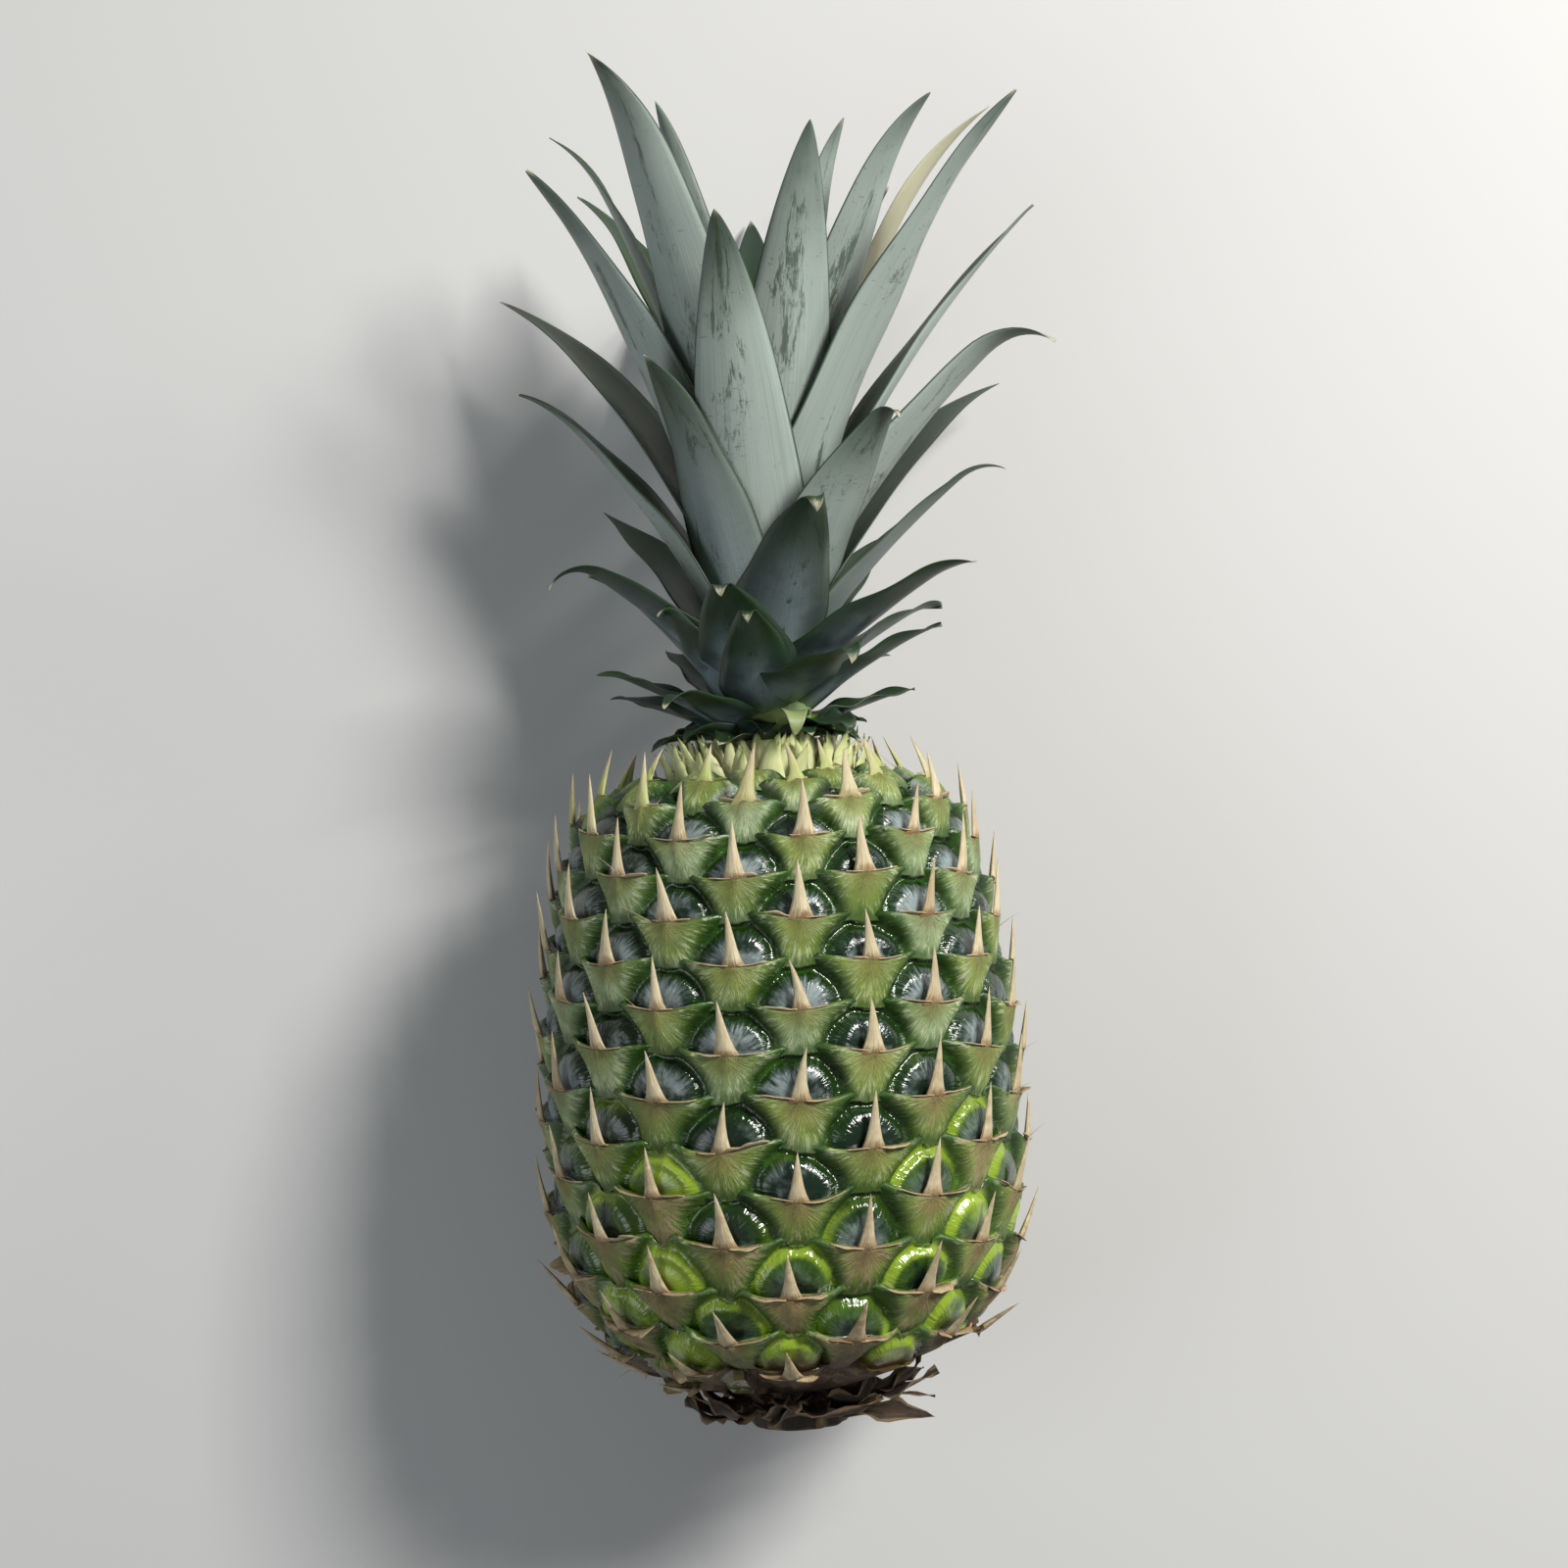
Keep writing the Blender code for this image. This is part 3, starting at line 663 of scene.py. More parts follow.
def close_end(points, faces, upper_end, seat_y, seat_radius):
    """Points and faces that close one open end of the rind: rings that run in to a round seat.

    Each ring point slides from its point of the open edge towards the seat's rim, by a share
    of the way that is the same all round.
    """
    edges = np.concatenate([faces[:, (0, 1)], faces[:, (1, 2)], faces[:, (2, 0)]])
    codes = edges.min(axis=1) * len(points) + edges.max(axis=1)
    _, first, counts = np.unique(codes, return_index=True, return_counts=True)
    rim = edges[first[counts == 1]]
    rim = rim[(points[rim[:, 0], 1] > 0) == upper_end]
    ring, place = np.unique(rim, return_inverse=True)
    place = place.reshape(rim.shape)
    start = points[ring]
    spread = np.hypot(start[:, 0], start[:, 2])[:, None]
    seat = start * (seat_radius / spread)
    seat[:, 1] = seat_y
    rings = np.concatenate([start + (seat - start) * share for share in SEAT_LEVELS])
    centre = np.array([[0, seat_y, 0]])
    levels = [ring[place]]
    levels += [len(points) + level * len(ring) + place for level in range(len(SEAT_LEVELS))]
    closing = []
    for outer, inner in zip(levels, levels[1:]):
        closing.append(np.stack([outer[:, 1], outer[:, 0], inner[:, 0]], -1))
        closing.append(np.stack([outer[:, 1], inner[:, 0], inner[:, 1]], -1))
    middle = np.full(len(rim), len(points) + len(rings))
    closing.append(np.stack([levels[-1][:, 1], levels[-1][:, 0], middle], -1))
    return np.concatenate([points, rings, centre]), np.concatenate([faces, *closing])


def rind_net():
    """Points, triangles, and for each corner its eye coordinates and its eye's facts.

    The net's unit squares are each cut by the same uneven lines, and each small square is cut
    along the diagonal that runs with the border between two eyes. The net closes on itself
    after a whole round, where its last line is its first one.
    """
    cuts = len(NET_FRACTIONS)
    fractions = np.array([*NET_FRACTIONS, 1.0])
    column, row = np.meshgrid(np.arange(ROUND_ACROSS), np.arange(-ROUND_ACROSS, ROUND_ACROSS), indexing="ij")
    lines = (SHALLOW_FAMILY + STEEP_FAMILY) / 2
    slant = (STEEP_FAMILY - SHALLOW_FAMILY) / 2
    number = lines * (row + 0.5) - slant * (column + 0.5)
    kept = (number > LOWEST_EYE - 0.5) & (number < HIGHEST_EYE + 0.5)
    column = column[kept][:, None, None]
    row = row[kept][:, None, None]
    step_across, step_along = np.meshgrid(np.arange(cuts + 1), np.arange(cuts + 1), indexing="ij")
    across = column + fractions[step_across]
    along = row + fractions[step_along]
    key_across = column * cuts + step_across
    key_along = row * cuts + step_along
    rounds = key_across // (ROUND_ACROSS * cuts)
    key_across = key_across - rounds * ROUND_ACROSS * cuts
    key_along = key_along - rounds * ROUND_ALONG * cuts
    codes = key_across.ravel() * 4096 + (key_along.ravel() + 2048)
    _, first, index = np.unique(codes, return_index=True, return_inverse=True)
    points = rind_points(across.ravel()[first], along.ravel()[first])
    corner = np.arange(across.size).reshape(across.shape)
    near = corner[:, :-1, :-1]
    right = corner[:, 1:, :-1]
    far = corner[:, 1:, 1:]
    left = corner[:, :-1, 1:]
    even = np.broadcast_to((column + row) % 2 == 0, near.shape)
    one = np.stack([near, right, np.where(even, left, far)], -1)
    two = np.stack([np.where(even, right, near), far, left], -1)
    triangles = np.concatenate([one.reshape(-1, 3), two.reshape(-1, 3)])
    corner_across = across.ravel()[triangles]
    corner_along = along.ravel()[triangles]
    shallow, steep = nearest_eye(corner_across.mean(axis=1), corner_along.mean(axis=1))
    sideways = corner_across.mean(axis=1) - (shallow - steep)
    upwards = corner_along.mean(axis=1) - (shallow + steep)
    lime = dome_facts(shallow, steep, sideways, upwards)[..., 1]
    on_dome = dome_distance(*near_dome(sideways, upwards)) < VALLEY_EDGE + VALLEY_EDGE_LIME * lime
    to_dome = on_dome & (upwards <= 0)
    to_bract = ~on_dome & (upwards > 0)
    right = sideways > 0
    shallow = shallow - (to_dome & ~right) + (to_bract & right)
    steep = steep - (to_dome & right) + (to_bract & ~right)
    places = np.stack([corner_across - (shallow - steep)[:, None],
                       corner_along - (shallow + steep)[:, None]], -1)
    facts = np.repeat(facts_of(shallow, steep)[:, None], 3, axis=1)
    return points, index.reshape(across.size)[triangles], places, facts


def add_mesh(name, points, faces):
    """New object at the origin, with its place in its mesh, shaded smooth."""
    mesh = bpy.data.meshes.new(name)
    mesh.from_pydata(points.tolist(), [], faces.tolist())
    mesh.shade_smooth()
    thing = bpy.data.objects.new(name, mesh)
    bpy.context.scene.collection.objects.link(thing)
    return thing


def on_floor(points):
    """Places in the frame of the solids, pressed flat where they would pass below the floor."""
    placed = points + FRUIT_MIDDLE
    placed[..., 2] = np.maximum(placed[..., 2], 0)
    return placed


def set_corner_values(thing, map_name, places, facts_name, facts):
    """Give each corner of a mesh its two own coordinates and its four facts."""
    layer = thing.data.uv_layers.new(name=map_name)
    layer.data.foreach_set("uv", np.ascontiguousarray(places, np.float32).ravel())
    attribute = thing.data.attributes.new(facts_name, "FLOAT_COLOR", "CORNER")
    attribute.data.foreach_set("color", np.ascontiguousarray(facts, np.float32).ravel())


def settle(thing, material, slot, *nodes):
    """Paint a finished piece, hang it from the root body and hide the solids it stands for."""
    thing.data.materials.append(material)
    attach(thing, "root")
    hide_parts(*nodes)
    return thing


def loft_faces(pieces, stations, around):
    """Triangles of closed tubes, each of rings of points with a fan to a point at each end."""
    start = (np.arange(pieces) * (stations * around + 2))[:, None, None]
    lower = start + (np.arange(stations - 1) * around)[None, :, None]
    side = np.arange(around)[None, None, :]
    after = (side + 1) % around
    first = lower + side
    second = lower + after
    walls = [np.stack([first, second, second + around], -1).reshape(-1, 3),
             np.stack([first, second + around, first + around], -1).reshape(-1, 3)]
    root = start + stations * around
    last = start + (stations - 1) * around
    caps = [np.stack(np.broadcast_arrays(start + after, start + side, root), -1).reshape(-1, 3),
            np.stack(np.broadcast_arrays(last + side, last + after, root + 1), -1).reshape(-1, 3)]
    return np.concatenate([*walls, *caps])


def loft(name, rings, places, facts, map_name="blade", facts_name="blade_facts"):
    """Object of closed tubes from rings of points, with each point's own coordinates and facts.

    rings is (pieces, stations, around, 3), and places and facts follow it with 2 and 4 values.
    """
    def with_ends(values):
        ends = np.stack([values[:, 0].mean(axis=1), values[:, -1].mean(axis=1)], axis=1)
        flat = values.reshape(len(values), -1, values.shape[-1])
        return np.concatenate([flat, ends], axis=1).reshape(-1, values.shape[-1])

    pieces, stations, around, _ = rings.shape
    points = with_ends(rings)
    faces = outward(points, loft_faces(pieces, stations, around))
    thing = add_mesh(name, on_floor(points), faces)
    corners = faces.ravel()
    set_corner_values(thing, map_name, with_ends(places)[corners], facts_name, with_ends(facts)[corners])
    return thing


def lance_shape(steps, root_share):
    """Share of a blade's full width: a sine rise from the root, and a power of 1 - t^2 to the tip."""
    swell = np.sin(math.pi / 2 * np.minimum(steps / FULL_WIDTH_STEP, 1))
    return (1 - steps ** 2) ** TIP_FULLNESS * (root_share + (1 - root_share) * swell)


def blade_rings(start, end, lift, angle, steps, half_width, channel, thickness, points_across,
                curl, curl_from, twist, sway, ruffle):
    """Rings of many thin arched blades round the fruit's axis, and each ring point's coordinates.

    A blade's middle line is a quadratic curve of (radius, y) from start to end, whose heading
    turns down by curl past the step curl_from. Its surface is that line swept sideways by the
    half width, with depth -channel |x|^p for x from -1 to 1 across, and ruffled at its edges by
    a sine. twist rolls it about its line and sway turns it round the axis, both growing with
    the step. Points run along the outer face and back along the inner one.
    """
    start = start[:, None, :]
    end = end[:, None, :]
    bend = start + (end - start) * np.stack([np.full_like(lift, ARCH_SPREAD), lift], -1)[:, None, :]
    along = steps[None, :, None]
    path = (1 - along) ** 2 * start + 2 * along * (1 - along) * bend + along ** 2 * end
    legs = np.diff(path, axis=1)
    length = np.linalg.norm(legs, axis=2)
    late = np.clip((steps[None, 1:] - curl_from[:, None]) / (1 - curl_from[:, None]), 0, 1)
    heading = np.arctan2(legs[..., 1], legs[..., 0]) - curl[:, None] * late ** 1.3
    legs = length[..., None] * np.stack([np.cos(heading), np.sin(heading)], -1)
    path = np.concatenate([path[:, :1], path[:, :1] + np.cumsum(legs, axis=1)], axis=1)
    slope = np.gradient(path, axis=1)
    slope /= np.linalg.norm(slope, axis=2)[..., None]
    turn = angle[:, None] + sway[:, None] * steps ** 2
    zero = np.zeros_like(turn)
    across = np.stack([np.sin(turn), zero, np.cos(turn)], -1)
    side = np.stack([np.cos(turn), zero, -np.sin(turn)], -1)
    outer = across * slope[..., 1:] - UP_AXIS * slope[..., :1]
    centre = across * path[..., :1] + UP_AXIS * path[..., 1:]
    roll = (twist[:, None] * steps ** 1.5)[..., None]
    side, outer = side * np.cos(roll) + outer * np.sin(roll), outer * np.cos(roll) - side * np.sin(roll)
    places = np.linspace(-1, 1, points_across)
    wave = np.sin(steps[None, :] * 17 + angle[:, None] * 5)[..., None] * places ** 3
    depth = ruffle[:, None, None] * wave - np.abs(places) ** CHANNEL_POWER * channel[..., None]
    wall = thickness / 2 * (EDGE_SHARE + (1 - EDGE_SHARE) * (1 - places ** 2))
    wall = wall * (1 - 0.75 * steps[:, None] ** 3)
    middle = (centre[:, :, None] + side[:, :, None] * (places * half_width[..., None])[..., None]
              + outer[:, :, None] * depth[..., None])
    thick = outer[:, :, None] * wall[None, ..., None]
    rings = np.concatenate([middle + thick, (middle - thick)[:, :, ::-1]], axis=2)
    shown = rings.shape[:3]
    ring_places = np.stack([np.broadcast_to(np.concatenate([places, places[::-1]]), shown),
                            np.broadcast_to(steps[None, :, None], shown)], -1)
    face = np.concatenate([np.ones(points_across), np.zeros(points_across)])
    return rings, ring_places, np.broadcast_to(face, shown)


def lean_crown(points):
    """Shear the crown sideways, as far as it leans."""
    leaned = points.copy()
    leaned[..., 0] += np.maximum(points[..., 1] - CROWN_FOOT_Y, 0) * math.tan(CROWN_LEAN)
    return leaned


def colour(name, description, value):
    """A colour that the panel shows."""
    return bpy.props.FloatVectorProperty(name=name, description=description, subtype="COLOR", size=3,
                                         min=0, max=1, default=value)


class PineappleRindSettings(bpy.types.PropertyGroup):
    bract: colour("Bract", "Middle of a fresh bract", (0.200, 0.270, 0.036))
    mint: colour("Mint", "Paler and cooler bract", (0.255, 0.350, 0.165))
    bract_wing: colour("Bract wing", "Edges and wings of a bract", (0.022, 0.072, 0.004))
    feather: colour("Feather", "Pale streaks on a bract", (0.56, 0.62, 0.38))
    # Valley is the rind's own dark furrow green and also painted shade in the furrows and up the bracts' slopes
    valley: colour("Valley", "Furrow round a dome", (0.009, 0.032, 0.002))
    dome: colour("Dome", "Body of a dome", (0.007, 0.021, 0.011))
    bloom: colour("Bloom", "Waxy bloom on a dome", (0.40, 0.49, 0.50))
    lime: colour("Lime", "Swollen beads and domes of the low eyes", (0.255, 0.375, 0.030))
    moss: colour("Moss", "Deeper green of the low domes", (0.060, 0.135, 0.010))
    dry: colour("Dry", "Dried skin of the low bracts", (0.34, 0.235, 0.130))
    root: colour("Root", "Bract at the spine's root", (0.32, 0.235, 0.085))
    crack: colour("Crack", "Cracks and the line along a lip", (0.075, 0.038, 0.016))


class PineappleSpineSettings(bpy.types.PropertyGroup):
    spine: colour("Spine", "Dry spine on a lip", (0.62, 0.54, 0.35))
    fresh: colour("Fresh", "Green foot of the spines near the neck", (0.36, 0.42, 0.12))
    root: colour("Spine root", "Cracked root of a spine", (0.25, 0.14, 0.05))
    paper: colour("Paper", "Papery edge of a lip", (0.52, 0.42, 0.26))
    paper_height: bpy.props.FloatProperty(
        name="Paper height", description="How far the papery edge of a lip stands up", default=0.00042,
        min=0.0002, max=0.004, subtype="DISTANCE", unit="LENGTH")


class PineappleCrownSettings(bpy.types.PropertyGroup):
    silver: colour("Silver", "Scurfy back of the long leaves", (0.345, 0.410, 0.370))
    slate: colour("Slate", "Back of the short leaves", (0.038, 0.058, 0.060))
    # Sheen is a painted sheen: lighter blue-grey laid into the colour of the short leaves' middles and lower
    # parts, standing in for light glancing off them
    sheen: colour("Sheen", "Waxy sheen on the short leaves", (0.250, 0.325, 0.355))
    # Green is the leaves' own inner-face and rubbed green, and also painted shade towards the short leaves' edges
    # and tips
    green: colour("Green", "Inner face and rubbed places", (0.016, 0.042, 0.012))
    axil: colour("Axil", "Bright foot of a leaf", (0.15, 0.245, 0.035))
    tip: colour("Tip", "Dried tip of a leaf", (0.50, 0.48, 0.32))
    leaf_thickness: bpy.props.FloatProperty(
        name="Leaf thickness", description="Thickness of a leaf at its middle", default=LEAF_THICKNESS,
        min=0.0004, max=0.003, subtype="DISTANCE", unit="LENGTH")


class PineappleNeckSettings(bpy.types.PropertyGroup):
    pale: colour("Pale", "Foot of a neck bract", (0.74, 0.74, 0.42))
    tipped: colour("Tipped", "Green of a neck bract's tip", (0.34, 0.44, 0.11))
    stalk: colour("Stalk", "Cut and dried stalk", (0.13, 0.082, 0.045))
    torn: colour("Torn", "Torn edges of the dried bracts", (0.36, 0.25, 0.13))
    husk: colour("Husk", "Dried bracts round the stalk", (0.024, 0.015, 0.009))


class PineappleStageSettings(bpy.types.PropertyGroup):
    floor: colour("Floor", "Plain floor", (0.59, 0.59, 0.58))
    key_power: bpy.props.FloatProperty(name="Key light", description="Power of the main soft light",
                                       default=25.0, min=0, subtype="POWER", unit="POWER")
    rim_power: bpy.props.FloatProperty(name="Rim light", description="Power of the low light on the domes' rims",
                                       default=2.6, min=0, subtype="POWER", unit="POWER")
    fill_power: bpy.props.FloatProperty(name="Fill light", description="Power of the soft side light",
                                        default=2.4, min=0, subtype="POWER", unit="POWER")


def rind_material(tints):
    """Skin of the eyes, drawn from each eye's own coordinates, with painted shade in the furrows round the domes
    and up the bracts' slopes.
    """
    paint = Paint("rind_skin")
    across, along = paint.map_values("eye")
    chance, lime, dry, seat = paint.facts("eye_facts")
    place = paint.object_place()
    tall = along * 0.66
    from_root = paint.math("SQRT", across * across + tall * tall)
    bearing = paint.math("ARCTAN2", tall, across)
    streaks = paint.noise(paint.vector(bearing * 4.0, from_root * 1.6, chance * 40), 2.4, 4.0, 0.65)
    fine = paint.noise(paint.vector(bearing * 15.0, from_root * 3.2, chance * 40), 2.4, 3.0, 0.6)
    hairs = paint.noise(paint.vector(bearing * 42.0, from_root * 4.0, chance * 40), 2.4, 2.0, 0.5)
    clouds = paint.noise(place, 70.0, 3.0)
    patches = paint.noise(place, 230.0, 3.0, 0.6)
    grain = paint.noise(place, 1100.0, 2.0)
    is_bract = paint.smooth(along, 0.004, -0.004)

    rim = paint.math("SQRT", (across / DOME_HALF_WIDTH) ** 2 + ((along - DOME_CENTRE) / DOME_HALF_HEIGHT) ** 2)
    dome_shown = paint.smooth(rim, 1.03, 0.95)
    scratches = paint.noise(paint.vector(bearing * 58.0, from_root * 3.0, chance * 70), 2.4, 2.0, 0.5)
    bloom = paint.smooth(rim + (streaks - 0.5) * 1.3 + (scratches - 0.5) * 0.9, 0.95, 0.36)
    bloom = bloom * paint.smooth(clouds + (patches - 0.5) * 0.5 + (chance - 0.5) * 0.3, 0.36, 0.60)
    bloom = bloom * (0.45 + 0.55 * paint.smooth(scratches + (hairs - 0.5) * 0.5, 0.38, 0.60))
    half_ripe = paint.smooth(lime + (clouds - 0.5) * 0.5, 0.15, 0.60)
    bloom = bloom * (1 - half_ripe * 0.75)
    body = paint.mix(paint.smooth(rim + (patches - 0.5) * 0.6, 0.55, 0.95) * 0.8, tints.dome, tints.valley)
    body = paint.mix(half_ripe * paint.smooth(patches + (rim - 0.5) * 0.5, 0.30, 0.70) * 0.65, body, tints.moss)
    round_dome = paint.math("ARCTAN2", along - DOME_CENTRE, across)
    on_bead = paint.smooth(paint.math("COSINE", round_dome - chance * math.tau), -0.3, 0.6)
    way_round = paint.vector(paint.math("COSINE", round_dome) * 5.0, paint.math("SINE", round_dome) * 5.0,
                             rim * 1.2 + chance * 40)
    wrinkles = paint.noise(way_round, 2.4, 1.0, 0.5)
    limed = paint.smooth(lime * 1.7 + (clouds - 0.5) * 1.6 + (rim - 0.7) * 0.45, 1.05, 1.60)
    ripe = rim * 0.6 + on_bead * 0.45 + (patches - 0.5) * 1.9 + (clouds - 0.5) * 1.5 + (lime - 0.5) * 0.9
    flesh = paint.mix(paint.smooth(ripe, 0.45, 1.20), tints.moss, tints.lime)
    dome = paint.mix(limed, body, flesh)
    dome = paint.mix(limed * paint.smooth(rim + (patches - 0.5) * 0.5, 0.60, 0.10) * 0.35, dome, tints.root)
    dome = paint.mix(bloom * 0.85, dome, tints.bloom)
    beaded = (paint.smooth(rim + (wrinkles - 0.5) * 0.12, 0.78, 0.95) * paint.smooth(rim, 1.17, 1.06)
              * paint.smooth(lime + (clouds - 0.5) * 0.8, 0.15, 0.60))
    beaded = beaded * (0.12 + 0.88 * on_bead)
    # Furrow colour: partly the rind's own dark green and partly painted shade in the furrows round the domes
    furrow_colour_and_shade = paint.mix(paint.smooth(patches + (clouds - 0.5) * 0.8, 0.40, 0.70), tints.valley, tints.bract_wing)
    furrow_colour_and_shade = paint.mix(paint.smooth(lime + (clouds - 0.5) * 0.8, 0.10, 0.75) * 0.75, furrow_colour_and_shade, tints.moss)
    upper = paint.mix(dome_shown, furrow_colour_and_shade, dome)
    upper = paint.mix(beaded * 0.9, upper, tints.lime)

    below = paint.math("SQRT", ((1 - abs(across)) / DOME_HALF_WIDTH) ** 2
                       + ((along + (1 - DOME_CENTRE)) / DOME_HALF_HEIGHT) ** 2)
    # The bract's colour starts only at the top of its slope; the slope keeps the dark furrow colour as painted
    # shade
    inside = paint.smooth(below + (fine - 0.5) * 0.16 + (clouds - 0.5) * 0.12, 1.10, 1.32)
    middle = paint.smooth(abs(across) + (streaks - 0.5) * 0.7 - along * 0.25, 0.80, 0.20)
    minty = paint.smooth(chance + (clouds - 0.5) * 0.9 - along * 0.35, 0.55, 1.05) * (1 - dry)
    bract = paint.mix(middle, tints.bract_wing, paint.mix(minty, tints.bract, tints.mint))
    bract = paint.mix(paint.smooth(patches + (fine - 0.5) * 0.6, 0.55, 0.30) * 0.35, bract, tints.bract_wing)
    bract = paint.mix(paint.smooth(clouds, 0.58, 0.40) * 0.35, bract, tints.bract_wing)
    feather_zone = paint.smooth(from_root, 0.14, 0.42) * inside * (1 - dry * 0.5)
    feathers = paint.smooth(hairs + (streaks - 0.5) * 1.1 + (clouds - 0.5) * 0.6, 0.55, 0.68) * feather_zone
    bract = paint.mix(feathers * 0.75, bract, tints.feather)
    ends = paint.smooth(along + (streaks - 0.5) * 0.45 + (clouds - 0.5) * 0.3, -0.60, -0.92)
    sides = paint.smooth(below + (streaks - 0.5) * 0.40 + (clouds - 0.5) * 0.2, 1.46, 1.16)
    bract = paint.mix(ends * 0.70, paint.mix(sides * 0.60, bract, tints.bract_wing), tints.bract_wing)
    parched = paint.smooth(dry * 1.05 + (streaks - 0.5) * 2.4 + (clouds - 0.5) * 1.4 - abs(across) * 0.8
                           + along * 0.35, 0.32, 0.86)
    withered = paint.mix(paint.smooth(streaks + (patches - 0.5) * 0.8, 0.60, 0.38) * 0.75, tints.dry, tints.root)
    withered = paint.mix(paint.smooth(hairs + (patches - 0.5) * 0.9, 0.50, 0.34) * 0.75, withered, tints.crack)
    bract = paint.mix(parched * inside * 0.82, bract, withered)
    scorched = paint.smooth(from_root + (fine - 0.5) * 0.80 + (streaks - 0.5) * 0.4, 0.32, 0.16)
    bract = paint.mix(scorched * (0.30 + 0.45 * dry), bract, tints.root)
    cracks = paint.smooth(fine + (hairs - 0.5) * 0.5, 0.47, 0.37) * paint.smooth(from_root, 0.44, 0.12)
    bract = paint.mix(cracks * 0.80, bract, tints.crack)
    lower = paint.mix(inside, furrow_colour_and_shade, bract)
    skin = paint.mix(is_bract, upper, lower)
    edge_line = paint.smooth(abs(along + 0.016), 0.018, 0.006) * paint.smooth(abs(across), 0.55, 0.25)
    skin = paint.mix(edge_line * 0.65, skin, tints.crack)
    low = paint.split(place)[1] + (clouds - 0.5) * 0.040 + (patches - 0.5) * 0.010
    skin = paint.mix(paint.smooth(low, MIDDLE_Y - 0.061, MIDDLE_Y - 0.070) * 0.85, skin, tints.crack)
    at_neck = paint.smooth(paint.split(place)[1], MIDDLE_Y - 0.01, MIDDLE_Y + 0.01)
    withered_foot = paint.mix(paint.smooth(patches + (clouds - 0.5), 0.45, 0.75) * 0.5, tints.crack, tints.dry)
    skin = paint.mix(seat, skin, paint.mix(at_neck, withered_foot, tints.bract_wing))

    at_rim = paint.smooth(rim, 0.30, 0.85) * (1 - is_bract)
    shine = paint.smooth(bloom, 0.55, 0.10)
    rough = 0.54 - 0.42 * shine * (1 - is_bract) + 0.10 * (patches - 0.5) + dry * is_bract * 0.14
    rough = rough + seat * 0.4 - sides * is_bract * (1 - dry) * 0.22
    height = ((streaks - 0.5) * (0.16 + 0.44 * is_bract) + (fine - 0.5) * (0.05 + 0.17 * is_bract)
              + (hairs - 0.5) * is_bract * 0.06 + (grain - 0.5) * 0.08 + (wrinkles - 0.5) * at_rim * 0.60
              + (streaks - 0.5) * dry * is_bract * 0.8
              + seat * ((clouds - 0.5) * 4.0 + (patches - 0.5) * 3.0))
    normal = paint.bump(height, 0.0006, 0.9)
    return paint.finish(Base_Color=skin, Roughness=rough, Coat_Weight=shine * (1 - is_bract) * 0.10,
                        Coat_Roughness=0.09, Normal=normal, Specular_IOR_Level=0.65)


def dry_material(name, tint, dark, fresh_tint):
    """Dry spines and papery edges: streaked along, cracked and darker at the root."""
    paint = Paint(name)
    across, along = paint.map_values("blade")
    chance, dry, fresh, _ = paint.facts("blade_facts")
    place = paint.object_place()
    streaks = paint.noise(paint.vector(across * 2.2, along * 1.2, chance * 50), 3.0, 3.0, 0.6)
    stains = paint.noise(place, 420.0, 3.0)
    root = paint.smooth(along + (stains - 0.5) * 0.30 + (streaks - 0.5) * 0.30, 0.22, 0.0)
    skin = paint.mix(paint.smooth(streaks, 0.62, 0.35) * 0.35, tint, dark)
    skin = paint.mix(paint.smooth(chance + (stains - 0.5) * 0.5, 0.60, 1.0) * 0.40, skin, dark)
    skin = paint.mix(root * (1 - fresh) * 0.9, skin, dark)
    skin = paint.mix(dry * 0.55 * paint.smooth(stains, 0.35, 0.65), skin, dark)
    skin = paint.mix(fresh * paint.smooth(along + (streaks - 0.5) * 0.5, 0.85, 0.20) * 0.9, skin, fresh_tint)
    normal = paint.bump((streaks - 0.5) + (stains - 0.5) * 0.5, 0.0003, 0.8)
    return paint.finish(Base_Color=skin, Roughness=0.55 + (stains - 0.5) * 0.2, Normal=normal)


